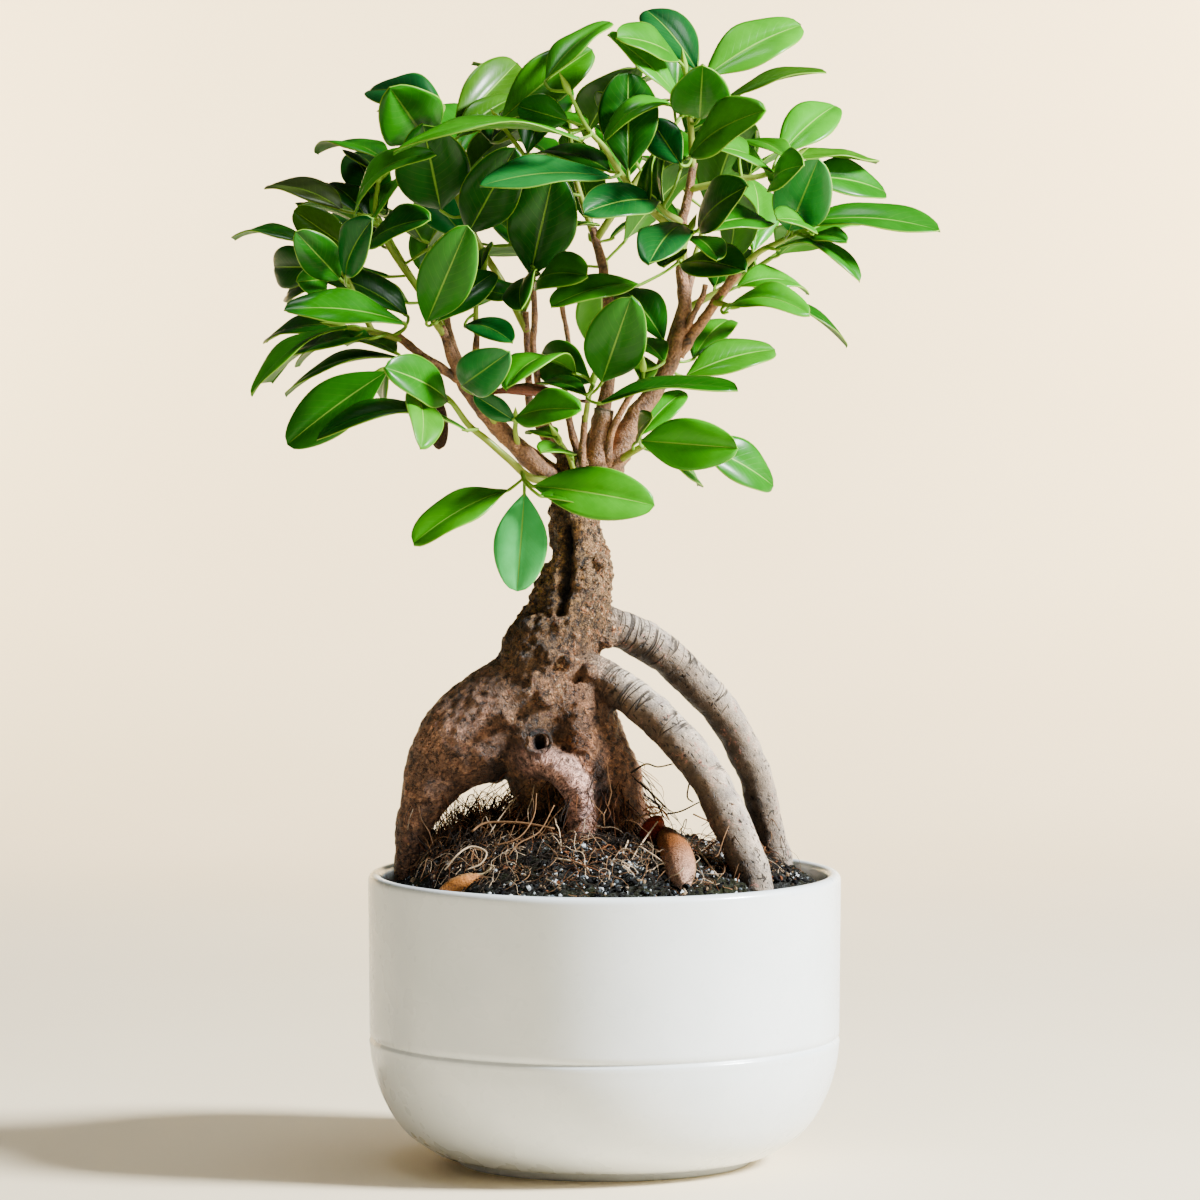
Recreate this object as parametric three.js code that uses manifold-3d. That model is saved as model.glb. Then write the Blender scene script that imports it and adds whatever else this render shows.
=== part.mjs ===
// A potted fig bonsai: a bare caudex on stilt roots, pruned branches and glossy leafy shoots,
// standing in a white glazed bowl. Millimetres, +Z up, origin on the bowl's axis at the table.
import * as THREE from 'three';
import { mergeVertices } from 'three/addons/utils/BufferGeometryUtils.js';
import Module from 'manifold-3d';

const wasm = await Module();
wasm.setup();

// ---- driving dimensions ----
const POT = {
  rim: 80, height: 98.3, wall: 4.5, floor: 8, foot: 50, footHeight: 2.5,
  groove: 43, grooveDepth: 0.8, segments: 28,
};
const SOIL = { edge: 69, edgeHeight: 96, wallHeight: 84, rise: 18, grain: 0.8 };
const GAP = 0.35; // between solids that touch
const EYE = { distance: 2500, height: 370 }; // where the tree's places below are judged from, in front
const LEAF = { thick: 1.2, ratio: 0.45, fold: 0.16, arch: 0.07, petiole: 0.75, stalk: 6 };
const WILD = { // leaves grown by rule; each second value is how much it varies
  first: 0.22, lean: [1, 0.3], inward: 0.35, stalk: [7, 3], length: [33, 12], ratio: [0.44, 0.08],
  arch: [0.05, 0.07], rise: [0.24, -0.3],
};
const CLEAR = { blade: 1.2, tube: 0.5 }; // kept free round a leaf, and round what it grows past
const GOLDEN_ANGLE = THREE.MathUtils.degToRad(137.5);

const COLOURS = {
  glaze: { color: 0xe9ecec, roughness: 0.22 },
  soil: { color: 0x2e2720, roughness: 0.95 },
  bark: { color: 0x7d6452, roughness: 0.8 },
  leaf: { color: 0x2f7d20, roughness: 0.35 },
  dry: { color: 0x8a4a1e, roughness: 0.7 },
};

// ---- places ----

// A place that looks from the eye as if it were at (x, z) in the upright plane through the bowl's
// axis, and that lies y behind that plane.
function seen(x, z, y) {
  const spread = 1 + y / EYE.distance;
  return new THREE.Vector3(x * spread, y, EYE.height + (z - EYE.height) * spread);
}

// Knots [x, z, y, radius], as they look from the eye, as knots in space.
const placed = (knots) => knots.map(([x, z, y, r]) => [...seen(x, z, y).toArray(), r]);

// ---- meshes ----

const spot = ([x, y, z]) => new THREE.Vector3(x, y, z);

function meshOf(points, faces) {
  const geometry = new THREE.BufferGeometry();
  const values = points.flatMap((p) => p.toArray());
  geometry.setAttribute('position', new THREE.Float32BufferAttribute(values, 3));
  geometry.setIndex(faces.flat());
  return geometry;
}

// A tube along a line of [x, y, z, radius], closed at both ends.
function tube(line, sides, grow = 0) {
  const centres = line.map(spot);
  const last = centres.length - 1;
  const points = [];
  const faces = [];
  let side = null;
  centres.forEach((centre, i) => {
    const along = centres[Math.min(i + 1, last)].clone().sub(centres[Math.max(i - 1, 0)]).normalize();
    if (!side) side = new THREE.Vector3(0, 1, 0).addScaledVector(along, -along.y);
    side.addScaledVector(along, -side.dot(along)).normalize();
    const other = along.clone().cross(side);
    const r = line[i][3] + grow;
    for (let k = 0; k < sides; k++) {
      const turn = (2 * Math.PI * k) / sides;
      const out = side.clone().multiplyScalar(r * Math.cos(turn)).addScaledVector(other, r * Math.sin(turn));
      points.push(centre.clone().add(out));
    }
  });
  for (let i = 0; i < last; i++) {
    for (let k = 0; k < sides; k++) {
      const a = i * sides + k;
      const b = i * sides + ((k + 1) % sides);
      faces.push([a, b, a + sides], [b, b + sides, a + sides]);
    }
  }
  for (let k = 1; k + 1 < sides; k++) {
    faces.push([0, k + 1, k], [last * sides, last * sides + k, last * sides + k + 1]);
  }
  return meshOf(points, faces);
}

function solidOf(geometry) {
  return new wasm.Manifold(new wasm.Mesh({
    numProp: 3,
    vertProperties: new Float32Array(geometry.getAttribute('position').array),
    triVerts: new Uint32Array(geometry.index.array),
  }));
}

function latheShape(profile, segments) {
  const lathe = new THREE.LatheGeometry(profile.map(([r, z]) => new THREE.Vector2(r, z)), segments);
  lathe.rotateX(Math.PI / 2);
  lathe.deleteAttribute('normal');
  lathe.deleteAttribute('uv');
  return mergeVertices(lathe, 1e-3);
}

const join = (solids) => solids.reduce((all, one) => all.add(one));
const largest = (solid) => solid.decompose().reduce((a, b) => (b.volume() > a.volume() ? b : a));

function part(name, solid, look) {
  const made = solid.getMesh();
  const geometry = new THREE.BufferGeometry();
  geometry.setAttribute('position', new THREE.BufferAttribute(new Float32Array(made.vertProperties), 3));
  geometry.setIndex(new THREE.BufferAttribute(new Uint32Array(made.triVerts), 1));
  const shape = geometry.toNonIndexed();
  shape.computeVertexNormals();
  const mesh = new THREE.Mesh(shape, new THREE.MeshStandardMaterial(COLOURS[look]));
  mesh.name = name;
  return mesh;
}

// ---- the bowl ----

const OUTSIDE = [ // radius and height up the outside, from the foot to under the groove
  [POT.foot, 0], [POT.foot, POT.footHeight], [58, 4], [66, 9.4], [70.9, 14.8], [74.1, 20.2],
  [76.8, 26.5], [78.8, 34], [79.5, POT.groove - 1.2],
];
const UPPER = 79.6; // the wall's radius just over the groove

const INSIDE = [ // down the inside, from the rim to the axis
  [POT.rim - POT.wall, POT.height - 2], [UPPER - POT.wall, POT.groove], [73, 28], [69, 18.5], [50, POT.floor],
  [0, POT.floor],
];

function potSolid() {
  const rim = POT.wall / 2;
  const profile = [
    [0, 0], ...OUTSIDE, [UPPER - POT.grooveDepth, POT.groove], [UPPER, POT.groove + 0.8],
    [POT.rim, POT.height - rim], [POT.rim - 0.7, POT.height - 0.6], [POT.rim - rim, POT.height], ...INSIDE,
  ];
  return solidOf(latheShape(profile, POT.segments));
}

// ---- the soil ----

const BUMPS = [[-45, 5, 9, 20], [-5, 3, 2, 15], [30, 0, -5, 14]]; // x, y, height, width of each swelling
const bump = (x, y, [cx, cy, height, width]) =>
  height * Math.exp(-((x - cx) ** 2 + (y - cy) ** 2) / (2 * width * width));

// The height of the root ball's top.
function soilTop(x, y) {
  const inside = Math.max(0, 1 - (x * x + y * y) / (SOIL.edge * SOIL.edge));
  const grain = Math.sin(x * 0.31 + 1.3) * Math.cos(y * 0.27) + 0.6 * Math.sin(x * 0.7 + y * 0.53);
  const swell = BUMPS.reduce((sum, b) => sum + bump(x, y, b), 0);
  return SOIL.edgeHeight + inside * SOIL.rise + swell * Math.min(1, inside * 4) + grain * SOIL.grain;
}

// The root ball without its holes, its top raised by `lift`.
function soilBody(lift = 0) {
  const wall = INSIDE.slice(1).reverse().map(([r, z]) => [Math.max(0, r - GAP), z + GAP]);
  const top = [SOIL.edge, 57, 41, 22, 0].map((r) => [r, SOIL.edgeHeight]);
  const profile = [...wall, [UPPER - POT.wall - GAP, SOIL.wallHeight], ...top];
  const shape = latheShape(profile, POT.segments);
  const position = shape.getAttribute('position');
  for (let i = 0; i < position.count; i++) {
    if (position.getZ(i) < SOIL.edgeHeight) continue;
    position.setZ(i, soilTop(position.getX(i), position.getY(i)) + lift);
  }
  return solidOf(shape);
}

const soilSolid = () => soilBody().subtract(join(ROOTS.map((knots) => solidOf(limbShape(knots, GAP)))));

// ---- what lies on the soil: a curled dry leaf, a dark red scale and a pale husk ----

const LITTER = {
  dry_leaf_on_soil: [[-56, 95, -41, 1.2], [-51, 96, -43, 3.2], [-45, 97, -44, 3.8], [-40, 98.5, -42, 2]],
  dry_scale: [[13, 108.5, -24, 1], [16, 113, -23, 2.8], [19, 117.5, -22, 1]],
  root_husk: [[20.5, 111.5, -20, 1.6], [22.8, 108, -29, 3.6], [25, 103, -40, 4.4], [26.5, 97.5, -51, 4],
    [27.5, 93.5, -58, 2]],
};

const litterSolid = (knots) => largest(solidOf(limbShape(knots, 0, 7)).subtract(soilBody(GAP)));

// ---- the trunk, grown as one with its roots and branches ----
// Knots are [x, z, y, radius].

const SETTLE = 78; // how deep the thick roots reach into the soil

const CAUDEX = {
  neck: [[-8, 240, 0, 7.5], [-9.5, 226, 0, 8], [-9.8, 215, 0, 8.7], [-8.3, 204, 0, 9.6],
    [-10, 194, 0, 12.5], [-13, 184, 0, 14.2], [-17.5, 173, 0, 16.5], [-20, 161, 0, 19],
    [-20, 149, 1, 18.5], [-19, 138, 3, 14], [-18, 126, 4, 8]],
  leftRoot: [[-14, 163, 0, 17], [-28, 155, 0, 18.6], [-40, 146.5, -1, 18], [-49, 141, -2, 15.8],
    [-56, 133, -3, 11.8], [-61.3, 123, -4, 8], [-64.8, 112, -4, 6], [-66, 100, -3, 5.2],
    [-66, SETTLE + 4, -1, 4.5]],
  rightLobe: [[-13, 160, -4, 15], [-8, 147, -6, 13.5], [-2.5, 134, -8, 13], [1, 123, -9, 12.6],
    [4, 111, -9, 11], [5, 98, -9, 8], [5, SETTLE + 8, -8, 4.5]],
  leftLobe: [[-24, 158, -6, 13], [-25, 146, -8, 12], [-24, 135, -9, 10.5], [-22, 124, -8, 8],
    [-21, 111, -6, 6.5], [-21, SETTLE + 8, -4, 4.5]],
  frontRoot: [[-29, 141, -12, 4.5], [-25, 137.5, -17, 5.4], [-19, 135.5, -20, 5.4],
    [-12.5, 131, -22, 5.2], [-8.5, 124, -22, 4.9], [-8, 114, -21, 4.6], [-9, 100, -19, 4],
    [-10, SETTLE + 8, -17, 3.4]],
  frontRightRoot: [[-9, 168, -6, 6.8], [0, 163.5, -10, 6.5], [10, 157, -15, 6.3], [20, 148.5, -20, 6.3],
    [30, 137.5, -25, 6.4], [38, 125, -30, 6.4], [44, 112, -34, 6.2], [50, 98, -37, 6],
    [54, SETTLE, -38, 5]],
  backRightRoot: [[-5, 182, 2, 7], [5, 180.5, 4, 6.6], [15, 176, 8, 6.4], [25, 168.5, 13, 6.3],
    [34, 159, 18, 6.1], [42, 149, 22, 5.9], [48, 138, 25, 5.7], [52.5, 126, 28, 5.5],
    [55.5, 113, 30, 5.2], [59, 100, 31, 5], [61, SETTLE, 31, 4.4]],
  backRoot: [[-14, 160, 8, 14], [-14, 145, 20, 10.5], [-15, 130, 30, 7.5], [-17, 114, 36, 6],
    [-18, 98, 38, 5.2], [-18, SETTLE, 38, 4.5]],
};

const BRANCHES = {
  right: [[-3, 226, 0, 5], [1, 233, 0, 4.6], [5, 240, 0, 4.1], [9, 250, 1, 3.6], [16, 260, 2, 3.1],
    [22, 270, 3, 2.7], [25, 280, 4, 2.5], [27, 290, 4, 2.3], [26, 300, 4, 2], [26, 310, 5, 1.8],
    [26, 318, 5, 1.7], [28, 326, 5, 1.5], [30, 338, 6, 1.3]],
  rightArm: [[25, 273, 4, 2], [28, 278, 4, 2], [33, 285, 3, 1.8], [38, 292, 2, 1.7], [43, 299, 0, 1.6],
    [47, 304, -1, 1.4]],
  rightSpur: [[27, 281, 4, 1.3], [30, 287, 0, 1.1], [33, 293, -3, 1], [34, 297, -4, 0.9]],
  left: [[-12, 226, -2, 5], [-17, 231, -4, 4], [-22, 235, -6, 3.3], [-30, 243, -9, 3],
    [-36, 249, -11, 2.8], [-43, 257, -13, 2.4], [-49, 266, -15, 2], [-53, 277, -17, 1.6],
    [-55, 283, -18, 1.4]],
  leftArm: [[-49, 265, -15, 1.7], [-55, 269, -16, 1.6], [-60, 272, -16, 1.5], [-65, 276, -15, 1.4],
    [-70, 280, -14, 1.3]],
  fork: [[-46.5, 262, -14, 1.2], [-44, 270, -12, 1.1], [-43, 280, -11, 1.1], [-43.4, 285, -11, 1]],
  wandA: [[-14, 238, 3, 1.8], [-20, 246, 8, 1.6], [-25, 256, 12, 1.4], [-25.5, 264, 13, 1.3],
    [-26, 276, 14, 1.2], [-26.5, 288, 14, 1.1]],
  wandB: [[-12, 238, 2, 1.8], [-17, 246, 4, 1.5], [-21.5, 256, 6, 1.3], [-22.5, 265, 7, 1.2],
    [-24, 276, 8, 1.1], [-23.5, 287, 8, 1.1], [-24, 300, 8, 1]],
  wandC: [[-9, 240, 3, 1.5], [-12, 252, 7, 1.2], [-13.5, 264, 10, 1], [-12, 276, 11, 0.9],
    [-14, 288, 12, 0.9], [-15, 297, 12, 0.9]],
  stump: [[-3, 232, -3, 4.4], [-2, 242, -4, 3.7], [0, 255, -5, 3.3]],
  stubA: [[-8, 232, -6, 2], [-7.5, 242, -8, 1.3], [-6.5, 253, -9, 1.1]],
  stubB: [[1, 236, -4, 1.8], [2, 246, -7, 1.3], [7, 257, -8, 1.1], [12.5, 265.5, -9, 1]],
  backRight: [[-2, 230, 4, 4], [4, 240, 12, 3], [11, 252, 22, 2.7], [19, 268, 36, 2.3],
    [26, 288, 50, 1.9], [30, 304, 58, 1.5]],
  backLeft: [[-13, 230, 4, 3.6], [-23, 238, 12, 2.8], [-35, 249, 21, 2.4], [-46, 264, 32, 2],
    [-53, 282, 44, 1.7], [-54, 298, 51, 1.4]],
  backUp: [[-6, 232, 4, 4], [-3, 246, 11, 2.8], [1, 262, 18, 2.4], [2, 282, 27, 2], [0, 300, 34, 1.7],
    [-4, 316, 39, 1.4]],
};

const ROOTS = Object.entries(CAUDEX).filter(([name]) => name !== 'neck').map(([, knots]) => knots);

const limbShape = (knots, grow = 0, sides = 8) => tube(placed(knots), sides, grow);
const branchShape = (knots, grow = 0) => limbShape(knots, grow, 5);

// The dark upright cleft in the neck, and the ringed hollow over the front root.
function marks() {
  const cleft = [[-13, 216, -13, 1.6], [-12.6, 205, -13, 2.4], [-13.5, 196, -15, 2.6],
    [-14.5, 187, -16, 1.4]];
  const hollow = [[-22, 144, -22, 2.6], [-22, 144, -14, 2.4]];
  return [solidOf(limbShape(cleft, 0, 5)), solidOf(limbShape(hollow, 0, 6))];
}

function trunkSolid() {
  const limbs = Object.values(CAUDEX).map((k) => solidOf(limbShape(k)));
  const branches = Object.values(BRANCHES).map((k) => solidOf(branchShape(k)));
  return largest(join([...limbs, ...branches]).subtract(join(marks())));
}

// ---- leaves ----

const BARE_START = 0.35; // of a stem's first stretch, which bears no leaf
const BLADE_STATIONS = [0.2, 0.54, 0.88];

// How wide a blade is at t of its length, as a share of its full half width: a wedge at the
// stalk, fullest past the middle, blunt at the tip.
const outline = (t) => Math.sin(Math.PI * t ** 1.12) ** (0.85 - 0.37 * t);

// A place on the midrib, which arches towards the upper face.
function midrib(leaf, t) {
  const length = leaf.base.distanceTo(leaf.tip);
  return leaf.base.clone().lerp(leaf.tip, t).addScaledVector(leaf.up, leaf.arch * length * 4 * t * (1 - t));
}

// The place on the stem that the stalk comes from: the nearest to a little before the blade, past
// the stem's own beginning.
function stalkFoot(leaf, stem) {
  const along = leaf.tip.clone().sub(leaf.base).normalize();
  const wanted = leaf.base.clone().addScaledVector(along, -LEAF.stalk);
  let best = null;
  for (let i = 0; i + 1 < stem.length; i++) {
    const stretch = new THREE.Line3(spot(stem[i]), spot(stem[i + 1]));
    if (i === 0) stretch.start.lerp(stretch.end, BARE_START);
    const place = stretch.closestPointToPoint(wanted, true, new THREE.Vector3());
    if (!best || place.distanceTo(wanted) < best.distanceTo(wanted)) best = place;
  }
  return best;
}

// A leaf as one skin of four-cornered rings: the stalk, then a blade that is a closed lens, raised
// a little along both edges, to a pointed tip. spread and thick make it larger all over.
function leafShape(leaf, stem, thick = LEAF.thick, spread = 0, stalked = true) {
  const along = leaf.tip.clone().sub(leaf.base).normalize();
  const side = leaf.up.clone().cross(along).normalize();
  const foot = stalkFoot(leaf, stem);
  const stalk = leaf.base.clone().sub(foot).normalize();
  const stalkSide = side.clone().addScaledVector(stalk, -side.dot(stalk)).normalize();
  const stalkUp = stalk.clone().cross(stalkSide);
  const points = [];
  const ring = (centre, across, upward, half, lift, raise) => {
    const edge = centre.clone().addScaledVector(upward, raise);
    points.push(edge.clone().addScaledVector(across, -half), centre.clone().addScaledVector(upward, lift));
    points.push(edge.clone().addScaledVector(across, half), centre.clone().addScaledVector(upward, -lift));
  };
  const r = LEAF.petiole + spread;
  if (stalked) ring(foot, stalkSide, stalkUp, r, r, 0);
  ring(leaf.base, side.clone().add(stalkSide).normalize(), leaf.up.clone().add(stalkUp).normalize(), r, r, 0);
  for (const t of BLADE_STATIONS) {
    const half = (leaf.width / 2) * outline(t) + spread;
    ring(midrib(leaf, t), side, leaf.up, half, thick / 2, LEAF.fold * half);
  }
  const rings = points.length / 4;
  points.push(leaf.tip.clone().addScaledVector(along, spread));
  const faces = [[0, 1, 2], [0, 2, 3]];
  for (let k = 0; k < 4; k++) {
    const next = (k + 1) % 4;
    for (let i = 0; i + 1 < rings; i++) {
      const [a, b, c, d] = [4 * i + k, 4 * i + next, 4 * (i + 1) + k, 4 * (i + 1) + next];
      faces.push([b, a, c], [b, c, d]);
    }
    faces.push([4 * (rings - 1) + next, 4 * (rings - 1) + k, 4 * rings]);
  }
  return meshOf(points, faces);
}

// A leaf as it looks from the eye: [x, z, tip x, tip z, width, y, y further to the tip, arch].
// One that looks narrow is seen near its edge, with its upper face turned to the sky.
function leafSeen([x, z, tipX, tipZ, looks, y, reach, arch = LEAF.arch], [shift, tilt]) {
  const base = seen(x, z, y + shift);
  const tip = seen(tipX, tipZ, y + shift + reach + tilt);
  const along = tip.clone().sub(base);
  const width = Math.max(looks, LEAF.ratio * along.length());
  along.normalize();
  const eye = new THREE.Vector3(0, -EYE.distance, EYE.height).sub(base).normalize();
  const facing = eye.addScaledVector(along, -eye.dot(along)).normalize();
  const sky = along.clone().cross(facing);
  if (sky.z < 0) sky.negate();
  const turn = Math.acos(Math.min(1, looks / width));
  const up = facing.multiplyScalar(Math.cos(turn)).addScaledVector(sky, Math.sin(turn));
  return { base, tip, up, width, arch };
}

const varied = ([least, more], draw) => least + more * draw;

// Leaves of a shoot seen from no side: up its stem by the golden angle.
function leafWild(stem, i, count, draws, [turn, pitch]) {
  const share = WILD.first + ((1 - WILD.first) * (i + 0.5)) / count;
  const k = share * (stem.length - 1);
  const n = Math.min(Math.floor(k), stem.length - 2);
  const here = spot(stem[n]);
  const next = spot(stem[n + 1]);
  const along = next.clone().sub(here).normalize();
  const foot = here.lerp(next, k - n);
  const sideways = new THREE.Vector3(0, 0, 1).cross(along).normalize();
  const raised = along.clone().cross(sideways);
  const angle = i * GOLDEN_ANGLE + 0.5 * (draws[0] - 0.5) + turn;
  const out = sideways.multiplyScalar(Math.cos(angle)).addScaledVector(raised, Math.sin(angle));
  const lean = WILD.lean[0] + WILD.inward * (1 - share) + WILD.lean[1] * (draws[1] - 0.5) + pitch;
  const way = along.clone().multiplyScalar(Math.cos(lean)).addScaledVector(out, Math.sin(lean));
  way.z += varied(WILD.rise, draws[2]);
  way.normalize();
  const length = varied(WILD.length, draws[3]);
  const base = foot.clone().addScaledVector(way, varied(WILD.stalk, draws[2]));
  const tip = base.clone().addScaledVector(way, length);
  const sky = new THREE.Vector3(0.3 * (draws[4] - 0.5), 0.3 * (draws[5] - 0.5), 0.8);
  sky.addScaledVector(along, 0.45);
  const up = sky.addScaledVector(way, -sky.dot(way)).normalize();
  const width = length * varied(WILD.ratio, draws[5]);
  return { base, tip, up, width, arch: varied(WILD.arch, draws[4]) };
}

// A repeatable stream of numbers from 0 to 1.
function drawsFrom(seed) {
  let state = seed;
  return () => {
    state = (state + 0x6d2b79f5) >>> 0;
    let t = Math.imul(state ^ (state >>> 15), 1 | state);
    t = (t + Math.imul(t ^ (t >>> 7), 61 | t)) ^ t;
    return ((t ^ (t >>> 14)) >>> 0) / 4294967296;
  };
}

// ---- the leafy shoots ----
// stem: knots [x, z, y, radius]; leaves: as leafSeen reads them; wild: how many more by leafWild.

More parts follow.
